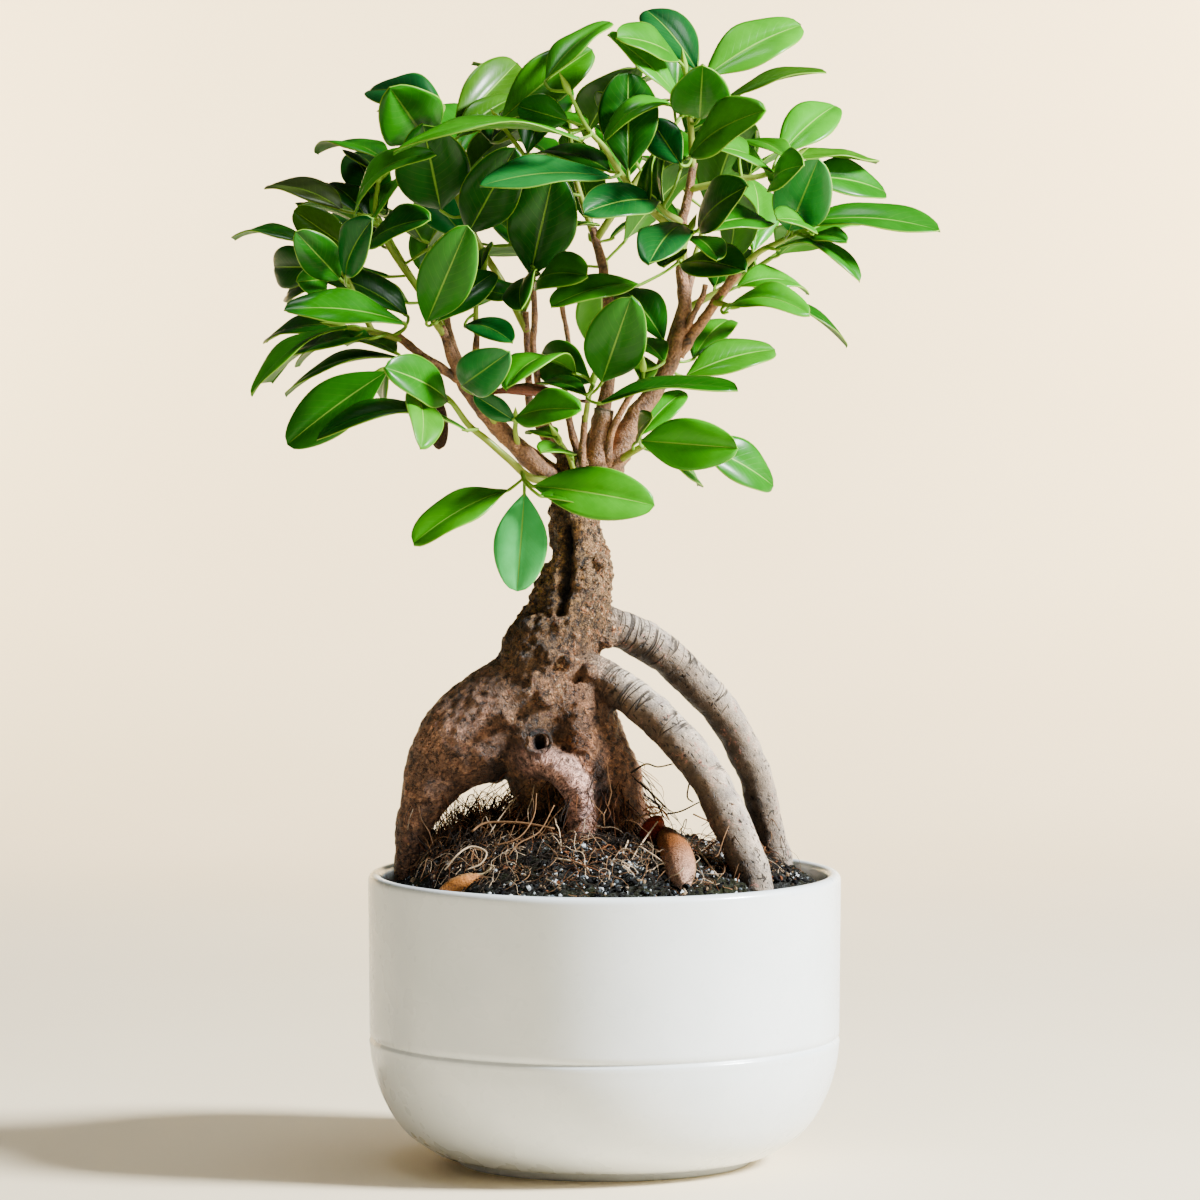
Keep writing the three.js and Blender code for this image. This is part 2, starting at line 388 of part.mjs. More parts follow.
const SHOOTS = {
  front_left: {
    stem: [[-17, 231, -5, 1.5], [-25, 232, -12, 1.4], [-32, 238, -15, 1.3], [-40, 245, -18, 1.2],
      [-46, 250, -20, 1.1], [-53, 259, -24, 0.9], [-62, 263, -26, 0.7]],
    leaves: [
      [-24, 229, 17, 222.5, 18, -18, -8], [-22, 226, 4, 218.5, 5, -13, 24],
      [-32, 228, -64.5, 209.5, 12, -18, -14], [-27, 227, -29.5, 193.5, 18.5, -18, -4, 0.05],
      [-46, 248, -97, 245, 5.5, -32, -10, 0.15], [-53, 258, -74, 269, 14, -27, -30],
      [-65, 262, -62, 242, 11, -27, -28, 0.1],
    ],
  },
  left_low: {
    stem: [[-60, 272, -16, 1.1], [-67, 272, -20, 1], [-74, 268.5, -22, 0.8]],
    leaves: [
      [-70, 274, -87, 277, 5, -20, 30], [-69, 272.5, -107.5, 259.5, 3.5, -18, 10, 0.11],
      [-73, 268, -107, 243, 18, -24, -6, 0.06], [-73, 268, -73, 256, 5, -20, 24],
    ],
  },
  left_mid: {
    stem: [[-68, 278.5, -14.5, 1.2], [-79, 281.5, -14, 1.1], [-88, 283, -13, 0.8]],
    leaves: [
      [-67, 284, -108, 288.5, 11, -20, -8], [-66, 286, -95, 300, 11, -10, 20],
      [-88, 283, -114, 278, 6, -10, 26], [-86, 283, -119, 259.5, 5, -16, -8, 0.12],
      [-78, 279, -103, 270, 5, -8, 28, 0.1], [-84, 279, -112.5, 264.5, 4, -6, 26],
    ],
  },
  left_out: {
    stem: [[-78, 281, -13, 1.1], [-83, 291, -10, 1], [-88, 301, -8, 0.9], [-96, 307, -6, 0.7]],
    leaves: [
      [-83, 307, -104.5, 322, 13, -4, 8], [-89, 299, -104, 315, 14, -14, -20],
      [-87, 300, -78, 319, 12, -18, -28], [-81, 309, -59, 319, 9, -14, -30],
      [-102, 311, -124.5, 312.5, 3.5, -4, 28, 0.1], [-95, 303, -111, 303, 15, 0, 26],
      [-93, 299, -103.5, 298, 11, -12, -24], [-92, 299, -107, 293, 8, 4, 30],
    ],
  },
  left_up: {
    stem: [[-55, 283, -18, 1.2], [-63, 296, -10, 1.2], [-72, 309, -2, 1], [-77, 320, 2, 0.9],
      [-76, 332, 4, 0.7]],
    leaves: [
      [-72, 337, -96, 341.5, 4, 8, 30, 0.12], [-76, 333, -85, 340, 7, 10, 32],
      [-88, 322, -113, 330, 8, 2, 28], [-73, 322, -85, 341, 16, 14, 20], [-79, 318, -93, 331, 10, 6, 24],
      [-84, 318, -57, 341, 6, -6, -16, 0.2], [-78, 319, -57, 334.5, 3, 0, 28, 0.12],
    ],
  },
  left_top: {
    stem: [[-26, 281, 14, 1.3], [-34, 297, 15, 1.3], [-43, 312, 16, 1.2], [-50, 328, 16, 1.1],
      [-56, 344, 16, 0.9], [-58, 352, 16, 0.7]],
    leaves: [
      [-54, 357, -79, 362, 12, 20, 28], [-60, 346, -72, 363, 24, 10, -30],
      [-55, 322, -61, 351, 26, 6, -26], [-51, 349, -29.5, 371.5, 18, 20, 24],
      [-46, 314, -30, 343, 20, 6, -20], [-50, 346, -30, 360, 10, 12, 20],
    ],
  },
  mid_left: {
    stem: [[-54, 280, -17.5, 1.3], [-58, 286, -21, 1.2], [-60, 292, -22, 0.9]],
    leaves: [
      [-60, 284, -46, 317, 19, -26, -18], [-57, 284, -37, 301, 12, -14, 28],
    ],
  },
  fork: {
    stem: [[-43.4, 284, -11, 1], [-43, 294, -9, 0.8], [-41.5, 299, -8, 0.6]],
    leaves: [
      [-47, 283, -31, 277.5, 8, -16, -22, 0.1], [-41, 301, -39, 310, 6, -8, 26],
    ],
  },
  mid_wand: {
    stem: [[-24, 298, 8, 1], [-25, 306, 7, 0.9], [-27, 312, 6, 0.7]],
    leaves: [
      [-24, 300, -48, 301, 7, 0, 24, -0.27], [-23, 298, -6, 300, 12, 4, -34],
      [-24, 305, -2, 317, 5, 8, 30, 0.15], [-25, 300, -17, 335, 24, 2, -14, 0.06],
      [-27, 306, -40, 320, 8, 8, 32], [-46, 312, -62, 331, 15, 12, 20],
      [-24, 300, -28, 289, 8, 0, -30, 0.1], [-27, 288, -44, 290, 3, 4, 28, 0.12],
    ],
  },
  mid_low: {
    stem: [[-36, 249, -11, 1.2], [-39, 254, -17, 1], [-43, 260, -21, 0.8]],
    leaves: [
      [-48, 263, -32, 274.5, 16, -24, -28, 0.1], [-38, 262, -37, 270, 6, -18, 28],
    ],
  },
  mid_sprout: {
    stem: [[-29, 242, -9, 1.1], [-30, 247, -15, 0.9], [-30, 251, -20, 0.8]],
    leaves: [
      [-30, 251, -44, 260, 8, -23, -10], [-30, 252, -8, 255, 12, -24, -26],
    ],
  },
  centre_low: {
    stem: [[-6.6, 251, -9, 1], [-5.5, 258, -11, 0.9], [-4, 264, -13, 0.7]],
    leaves: [
      [-9.5, 267, -33, 262, 3.5, -14, -32, 0.19], [-4, 264, -21, 274, 16, -6, 32],
      [-1, 264, 9, 293, 21, -16, -20], [-6, 260, -24, 262, 4, -12, 30, 0.1],
      [-2, 257, 45, 261.5, 5, -16, -8, 0.07],
    ],
  },
  centre_stub: {
    stem: [[-10, 233, -7, 1], [-12, 239, -13, 0.8], [-15, 244, -15, 0.6]],
    leaves: [
      [-16, 245, -25, 247, 4, -14, 26], [-11, 239, -21.5, 240.5, 3, -14, -24],
    ],
  },
  centre_twig: {
    stem: [[12, 264.5, -9, 0.9], [13, 266, -12, 0.8], [13, 268, -14, 0.7]],
    leaves: [
      [13, 263, 12, 273, 9, -10, 28], [20, 271, 10, 278, 8, -6, 32],
    ],
  },
  right_low: {
    stem: [[4, 237, -1, 1.4], [10, 241, -6, 1.2], [17, 244, -8, 1], [27, 243, -9, 0.8]],
    leaves: [
      [12, 246, 27, 261, 10, -2, 28], [12, 244.5, 45, 242, 18, -13, -16], [13, 242, 32, 229.5, 6, 0, 26],
      [28.5, 244.5, 57, 229, 14, -4, 18], [12, 245, 16, 252, 4, -10, -22],
    ],
  },
  right_behind: {
    stem: [[21, 268.5, 3, 1.3], [24, 271, 14, 1], [25, 273, 24, 0.8]],
    leaves: [
      [20, 278, 6, 295.5, 14, 14, 28], [30, 272, 42, 285, 12, 20, 30], [27, 266, 57.5, 275, 12, 12, 22],
    ],
  },
  right_mid: {
    stem: [[26, 303, 4, 1.3], [27, 311, -5, 1.1], [29, 316, -11, 0.9]],
    leaves: [
      [26, 317, 15, 304, 15, -16, -36], [32, 316, 48, 330, 13, -10, -34], [32, 315, 55, 318, 10, -6, 32],
      [28, 313, 38, 305.5, 7, -14, -34], [26, 308, 20, 303, 6, -12, -22],
      [26, 304, 47.5, 301.5, 12, -6, -30], [12, 297, -18, 289.5, 9, -8, -22],
    ],
  },
  right_arm: {
    stem: [[37, 291, 2, 1.2], [40, 290.5, -4, 1], [42, 290, -8, 0.7]],
    leaves: [
      [44, 296, 68, 294.5, 7, 4, 24, 0.12], [40, 287.5, 69, 287, 8, -12, -20, 0.18],
    ],
  },
  right_centre: {
    stem: [[26, 318, 5, 1.3], [21, 321, -3, 1], [17, 325, -8, 0.8]],
    leaves: [
      [18, 325, -7, 321, 13, -14, -30], [20, 324, 20, 342.5, 6, 0, 28], [15, 323, 16, 340, 5, -4, 28],
      [26, 338, 17, 351, 9, 0, 32],
    ],
  },
  right_up: {
    stem: [[28.5, 329, 5, 1.3], [42, 332, 2, 1.1], [54, 334, 0, 1], [62, 339, -2, 0.8]],
    leaves: [
      [57, 330, 36, 343, 4, -6, -28, 0.12], [49, 334, 51, 345.5, 6, 4, 30],
      [57, 331, 67, 337, 10, -10, -34], [47, 345, 61, 340, 5, -6, -30], [58.5, 340, 77.5, 357, 15, 2, 26],
      [63, 339.5, 91.5, 338, 3, 0, 24, 0.04], [66, 333, 94.5, 328, 12, 4, 24],
    ],
  },
  right_out: {
    stem: [[46, 302.5, -0.8, 1.3], [52, 308, -3, 1.1], [58, 311, -5, 1], [66, 315, -7, 0.8]],
    leaves: [
      [62, 315, 72, 339.5, 20, -12, -26], [66, 317.5, 113, 315, 9, -10, -6],
      [66, 317, 69.5, 324, 4, -4, 24], [70, 314, 58, 319, 4, -8, -28],
      [69, 313, 81.5, 311.5, 5, -10, -28], [57, 309, 86, 298, 4, -8, -18, 0.2],
    ],
  },
  top_left: {
    stem: [[26, 313, 5, 1.4], [18, 320, -1, 1.3], [12, 326, -4, 1.2], [5, 335, -9, 1.1], [0, 343, -13, 1],
      [-6, 350, -17, 0.8], [-12, 362, -22, 0.6]],
    leaves: [
      [2, 333, -42, 330, 10, -16, -10], [2, 335, -22, 341, 7, -6, 30], [8, 335, 8, 368, 21, -2, 14, 0.06],
      [-12, 349, -34, 354, 5, -14, 28, 0.12], [-6, 348, -24, 354, 3, -12, 30],
      [-8, 346, -71, 341, 3, -24, -8, 0.1], [-12, 352, -29, 357, 13, -15, -4],
      [-20, 365, 2, 385, 8, -14, 20],
    ],
  },
  top_middle: {
    stem: [[-14.5, 291, 12, 1.1], [-17, 310, 11, 1.1], [-22, 328, 9, 1], [-27, 340, 7, 0.9],
      [-34, 350, 5, 0.7]],
    leaves: [
      [-26, 341, -14, 364, 16, 8, 26], [-35, 352, -4, 376, 17, 0, 10], [-38, 345, -31, 360, 16, 10, 32],
    ],
  },
  top: {
    stem: [[29.7, 335.5, 6, 1.3], [29, 350, 4, 1.1], [28, 361, 2, 0.9], [27, 369, 0, 0.7]],
    leaves: [
      [31, 369, 14, 389, 14, 4, 26], [25, 372, 4, 380, 9, -4, -30],
      [27, 356, 1, 381, 7.5, -10, -14, 0.06], [32, 353, 33, 371, 21, -8, -34],
      [33, 366, 66, 384, 16, 6, 20], [36, 355, 74.5, 368.5, 3.5, 2, -6, 0.08],
      [29, 340, 54, 355.5, 14, -10, -26, 0.08], [29, 354, 0, 345, 5, -10, -24, 0.25],
      [26, 337, 16, 352, 13, 6, 20],
    ],
  },
  dry_leaf_hanging: {
    look: 'dry',
    stem: [[-50, 268, -15, 0.9], [-56, 268, -11, 0.8], [-60, 267, -8, 0.7]],
    leaves: [
      [-61, 264, -55.5, 241.5, 8, -7, -4, 0.05],
    ],
  },
  dry_sheath: {
    look: 'dry',
    stem: [[-5.5, 258, -11, 0.8], [-5.7, 258, -14, 0.8], [-6, 258, -17, 0.7]],
    leaves: [
      [-7, 257.8, -38, 260.5, 3, -19, -10, 0.04],
    ],
  },
  back_right: {
    stem: [[29.7, 303, 57.5, 1.4], [34, 318, 66, 1.1], [36, 332, 72, 0.7]],
    leaves: [],
    wild: 7,
    seed: 13,
  },
  back_right_side: {
    stem: [[26, 288, 50, 1.4], [44, 298, 54, 1.1], [62, 310, 54, 0.7]],
    leaves: [],
    wild: 6,
    seed: 68,
  },
  back_left: {
    stem: [[-54, 297, 50.5, 1.4], [-55, 318, 58, 1.1], [-50, 338, 60, 0.7]],
    leaves: [],
    wild: 6,
    seed: 34,
  },
  back_left_side: {
    stem: [[-52.5, 281, 43.5, 1.4], [-64, 298, 47, 1.1], [-73, 314, 46, 0.7]],
    leaves: [],
    wild: 6,
    seed: 247,
  },
  back_middle: {
    stem: [[0, 299, 33.7, 1.4], [0, 305, 54, 1.1], [-4, 312, 74, 0.7]],
    leaves: [],
    wild: 5,
    seed: 128,
  },
  back_top: {
    stem: [[-4, 315, 38.7, 1.3], [-10, 334, 44, 1], [-12, 354, 48, 0.7]],
    leaves: [],
    wild: 6,
    seed: 399,
  },
  back_top_right: {
    stem: [[-3, 312, 38, 1.4], [12, 334, 38, 1.1], [26, 354, 38, 0.7]],
    leaves: [],
    wild: 4,
    seed: 315,
  },
};

// A leaf that would cross what is already there is slid along the line of sight or tilted, or a
// wild one turned, by the first of these that is clear. One with no clear place is left out.
const SLIDES = [[0, 0], [0, 6], [0, -6], [4, 0], [-4, 0], [4, 6], [-4, -6], [8, 0], [-8, 0], [0, 12],
  [0, -12], [8, 8], [-8, -8], [12, 0], [-12, 0], [6, -12], [-6, 12], [12, 12], [-12, -12], [16, 0],
  [-16, 0], [16, 14], [-16, -14], [10, -20], [-10, 20]];
const TURNS = [[0, 0], [0.2, 0], [-0.2, 0], [0, 0.2], [0, -0.2], [0.4, 0], [-0.4, 0], [0.4, 0.25],
  [-0.4, -0.25], [0.6, 0.2], [-0.6, 0.2], [0.8, 0], [-0.8, 0], [0.5, -0.3], [-0.5, 0.35]];

const STEM_SIDES = 4;
const stemLine = (shoot) => placed(shoot.stem);

const guarded = (geometry, owner) => {
  const solid = solidOf(geometry);
  return { solid, owner, box: solid.boundingBox() };
};
const apart = (a, b) => [0, 1, 2].some((k) => a.min[k] > b.max[k] || b.min[k] > a.max[k]);
const crosses = (a, b) => !apart(a.box, b.box) && a.solid.intersect(b.solid).volume() > 1e-6;

// What the leaves grow past: the limbs, the branches and each shoot's stem.
function woodInTheWay() {
  const limbs = Object.values(CAUDEX).map((k) => guarded(limbShape(k, CLEAR.tube), 'trunk'));
  const branches = Object.values(BRANCHES).map((k) => guarded(branchShape(k, CLEAR.tube), 'trunk'));
  const stems = Object.entries(SHOOTS).map(([name, shoot]) =>
    guarded(tube(stemLine(shoot), STEM_SIDES, CLEAR.tube), name));
  return { trunk: [...limbs, ...branches], stems };
}

// The places that each leaf of a shoot may take, the first being where it looks best.
function choicesOf(shoot, stem) {
  const draw = drawsFrom(shoot.seed ?? 1);
  const choices = shoot.leaves.map((row) => SLIDES.map((slide) => leafSeen(row, slide)));
  for (let i = 0; i < (shoot.wild ?? 0); i++) {
    const draws = Array.from({ length: 6 }, draw);
    choices.push(TURNS.map((turn) => leafWild(stem, i, shoot.wild, draws, turn)));
  }
  return choices;
}

// Every leaf's settled place, shoot by shoot.
function settleLeaves() {
  const wood = woodInTheWay();
  const taken = [];
  const settled = {};
  for (const [name, shoot] of Object.entries(SHOOTS)) {
    const stem = stemLine(shoot);
    settled[name] = [];
    for (const leaves of choicesOf(shoot, stem)) {
      const tries = leaves.map((leaf) => ({
        leaf,
        owner: name,
        whole: guarded(leafShape(leaf, stem, LEAF.thick + CLEAR.blade, CLEAR.tube), name),
        blade: guarded(leafShape(leaf, stem, LEAF.thick + CLEAR.blade, CLEAR.tube, false), name),
      }));
      const clearOfOthers = (one) => !taken.some((t) => t.owner !== name && crosses(one.whole, t.whole))
        && !wood.stems.some((w) => w.owner !== name && crosses(one.whole, w))
        && !wood.trunk.some((w) => crosses(one.blade, w));
      const clearOfOwn = (one) => !taken.some((t) => t.owner === name && crosses(one.blade, t.blade));
      const allowed = tries.filter(clearOfOthers);
      const best = allowed.find(clearOfOwn) ?? allowed[0];
      if (best) {
        taken.push(best);
        settled[name].push(best.leaf);
      }
    }
  }
  return settled;
}

// One shoot: stem, stalks and blades as one body, clear of the wood and the stems it grows from.
function shootSolid(name, leaves) {
  const names = Object.keys(SHOOTS);
  const before = names.slice(0, names.indexOf(name));
  const earlier = before.map((n) => solidOf(tube(stemLine(SHOOTS[n]), STEM_SIDES, GAP)));
  const neck = solidOf(limbShape(CAUDEX.neck, GAP));
  const branches = Object.values(BRANCHES).map((k) => solidOf(branchShape(k, GAP)));
  const stem = stemLine(SHOOTS[name]);
  const pieces = [solidOf(tube(stem, STEM_SIDES)), ...leaves.map((leaf) => solidOf(leafShape(leaf, stem)))];
  return largest(join(pieces).subtract(join([neck, ...branches, ...earlier])));
}

// ---- put together ----

const bonsai = new THREE.Group();
bonsai.add(part('pot', potSolid(), 'glaze'));
bonsai.add(part('soil', soilSolid(), 'soil'));
bonsai.add(part('trunk', trunkSolid(), 'bark'));
for (const [name, knots] of Object.entries(LITTER)) bonsai.add(part(name, litterSolid(knots), 'dry'));
for (const [name, leaves] of Object.entries(settleLeaves())) {
  const look = SHOOTS[name].look ?? 'leaf';
  bonsai.add(part(look === 'dry' ? name : 'shoot_' + name, shootSolid(name, leaves), look));
}

export default bonsai;
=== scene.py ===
"""Looks for the potted fig bonsai, in millimetres until a mesh is made, +Z up and -Y to the viewer."""
import itertools
import math

import bpy
import numpy as np
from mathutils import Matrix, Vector, noise
from mathutils.bvhtree import BVHTree


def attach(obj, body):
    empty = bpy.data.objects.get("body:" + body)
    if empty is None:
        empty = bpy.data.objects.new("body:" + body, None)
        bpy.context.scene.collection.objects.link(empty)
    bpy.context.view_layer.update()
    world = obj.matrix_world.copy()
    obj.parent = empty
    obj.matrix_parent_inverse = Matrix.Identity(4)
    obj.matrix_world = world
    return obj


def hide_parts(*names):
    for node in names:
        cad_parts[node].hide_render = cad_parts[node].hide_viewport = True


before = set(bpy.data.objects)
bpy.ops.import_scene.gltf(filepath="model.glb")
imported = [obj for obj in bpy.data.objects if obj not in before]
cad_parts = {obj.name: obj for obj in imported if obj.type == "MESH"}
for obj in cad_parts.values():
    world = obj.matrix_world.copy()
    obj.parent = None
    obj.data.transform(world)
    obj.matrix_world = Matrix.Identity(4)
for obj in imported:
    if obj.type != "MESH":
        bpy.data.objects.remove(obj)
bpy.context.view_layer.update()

MM = 0.001
GOLDEN_ANGLE = math.radians(137.5)

# ---- driving dimensions, as in the solids ----
POT = {"rim": 80, "height": 98.3, "wall": 4.5, "floor": 8, "foot": 50, "foot_height": 2.5, "groove": 43}
UPPER = 79.6  # the wall's radius just over the groove
SOIL = {"edge": 69, "edge_height": 96, "wall_height": 84, "rise": 18, "grain": 0.8}
BUMPS = [[-45, 5, 9, 20], [-5, 3, 2, 15], [30, 0, -5, 14]]  # x, y, height, width of each swelling
GAP = 0.35
EYE = {"distance": 2500, "height": 370}
LEAF = {"thick": 1.2, "ratio": 0.45, "fold": 0.16, "arch": 0.07, "petiole": 0.75}
CLEAR = {"blade": 1.2, "tube": 0.5}  # how much larger shapes are taken to be when they are tested
BARE_START = 0.35  # how much of a stem's first stretch bears no leaf
SETTLE = 78  # how low the roots end in the soil

# The thick limbs and the branches: knots of [x, z, y, radius], x and z as seen in the plane y = 0.
CAUDEX = {
    "neck": [[-8, 240, 0, 7.5], [-9.5, 226, 0, 8], [-9.8, 215, 0, 8.7], [-8.3, 204, 0, 9.6],
        [-10, 194, 0, 12.5], [-13, 184, 0, 14.2], [-17.5, 173, 0, 16.5], [-20, 161, 0, 19],
        [-20, 149, 1, 18.5], [-19, 138, 3, 14], [-18, 126, 4, 8]],
    "leftRoot": [[-14, 163, 0, 17], [-28, 155, 0, 18.6], [-40, 146.5, -1, 18], [-49, 141, -2, 15.8],
        [-56, 133, -3, 11.8], [-61.3, 123, -4, 8], [-64.8, 112, -4, 6], [-66, 100, -3, 5.2],
        [-66, SETTLE + 4, -1, 4.5]],
    "rightLobe": [[-13, 160, -4, 15], [-8, 147, -6, 13.5], [-2.5, 134, -8, 13], [1, 123, -9, 12.6],
        [4, 111, -9, 11], [5, 98, -9, 8], [5, SETTLE + 8, -8, 4.5]],
    "leftLobe": [[-24, 158, -6, 13], [-25, 146, -8, 12], [-24, 135, -9, 10.5], [-22, 124, -8, 8],
        [-21, 111, -6, 6.5], [-21, SETTLE + 8, -4, 4.5]],
    "frontRoot": [[-29, 141, -12, 4.5], [-25, 137.5, -17, 5.4], [-19, 135.5, -20, 5.4],
        [-12.5, 131, -22, 5.2], [-8.5, 124, -22, 4.9], [-8, 114, -21, 4.6], [-9, 100, -19, 4],
        [-10, SETTLE + 8, -17, 3.4]],
    "frontRightRoot": [[-9, 168, -6, 6.8], [0, 163.5, -10, 6.5], [10, 157, -15, 6.3], [20, 148.5, -20, 6.3],
        [30, 137.5, -25, 6.4], [38, 125, -30, 6.4], [44, 112, -34, 6.2], [50, 98, -37, 6],
        [54, SETTLE, -38, 5]],
    "backRightRoot": [[-5, 182, 2, 7], [5, 180.5, 4, 6.6], [15, 176, 8, 6.4], [25, 168.5, 13, 6.3],
        [34, 159, 18, 6.1], [42, 149, 22, 5.9], [48, 138, 25, 5.7], [52.5, 126, 28, 5.5],
        [55.5, 113, 30, 5.2], [59, 100, 31, 5], [61, SETTLE, 31, 4.4]],
    "backRoot": [[-14, 160, 8, 14], [-14, 145, 20, 10.5], [-15, 130, 30, 7.5], [-17, 114, 36, 6],
        [-18, 98, 38, 5.2], [-18, SETTLE, 38, 4.5]],
}

BRANCHES = {
    "right": [[-3, 226, 0, 5], [1, 233, 0, 4.6], [5, 240, 0, 4.1], [9, 250, 1, 3.6], [16, 260, 2, 3.1],
        [22, 270, 3, 2.7], [25, 280, 4, 2.5], [27, 290, 4, 2.3], [26, 300, 4, 2], [26, 310, 5, 1.8],
        [26, 318, 5, 1.7], [28, 326, 5, 1.5], [30, 338, 6, 1.3]],
    "rightArm": [[25, 273, 4, 2], [28, 278, 4, 2], [33, 285, 3, 1.8], [38, 292, 2, 1.7], [43, 299, 0, 1.6],
        [47, 304, -1, 1.4]],
    "rightSpur": [[27, 281, 4, 1.3], [30, 287, 0, 1.1], [33, 293, -3, 1], [34, 297, -4, 0.9]],
    "left": [[-12, 226, -2, 5], [-17, 231, -4, 4], [-22, 235, -6, 3.3], [-30, 243, -9, 3],
        [-36, 249, -11, 2.8], [-43, 257, -13, 2.4], [-49, 266, -15, 2], [-53, 277, -17, 1.6],
        [-55, 283, -18, 1.4]],
    "leftArm": [[-49, 265, -15, 1.7], [-55, 269, -16, 1.6], [-60, 272, -16, 1.5], [-65, 276, -15, 1.4],
        [-70, 280, -14, 1.3]],
    "fork": [[-46.5, 262, -14, 1.2], [-44, 270, -12, 1.1], [-43, 280, -11, 1.1], [-43.4, 285, -11, 1]],
    "wandA": [[-14, 238, 3, 1.8], [-20, 246, 8, 1.6], [-25, 256, 12, 1.4], [-25.5, 264, 13, 1.3],
        [-26, 276, 14, 1.2], [-26.5, 288, 14, 1.1]],
    "wandB": [[-12, 238, 2, 1.8], [-17, 246, 4, 1.5], [-21.5, 256, 6, 1.3], [-22.5, 265, 7, 1.2],
        [-24, 276, 8, 1.1], [-23.5, 287, 8, 1.1], [-24, 300, 8, 1]],
    "wandC": [[-9, 240, 3, 1.5], [-12, 252, 7, 1.2], [-13.5, 264, 10, 1], [-12, 276, 11, 0.9],
        [-14, 288, 12, 0.9], [-15, 297, 12, 0.9]],
    "stump": [[-3, 232, -3, 4.4], [-2, 242, -4, 3.7], [0, 255, -5, 3.3]],
    "stubA": [[-8, 232, -6, 2], [-7.5, 242, -8, 1.3], [-6.5, 253, -9, 1.1]],
    "stubB": [[1, 236, -4, 1.8], [2, 246, -7, 1.3], [7, 257, -8, 1.1], [12.5, 265.5, -9, 1]],
    "backRight": [[-2, 230, 4, 4], [4, 240, 12, 3], [11, 252, 22, 2.7], [19, 268, 36, 2.3],
        [26, 288, 50, 1.9], [30, 304, 58, 1.5]],
    "backLeft": [[-13, 230, 4, 3.6], [-23, 238, 12, 2.8], [-35, 249, 21, 2.4], [-46, 264, 32, 2],
        [-53, 282, 44, 1.7], [-54, 298, 51, 1.4]],
    "backUp": [[-6, 232, 4, 4], [-3, 246, 11, 2.8], [1, 262, 18, 2.4], [2, 282, 27, 2], [0, 300, 34, 1.7],
        [-4, 316, 39, 1.4]],
}

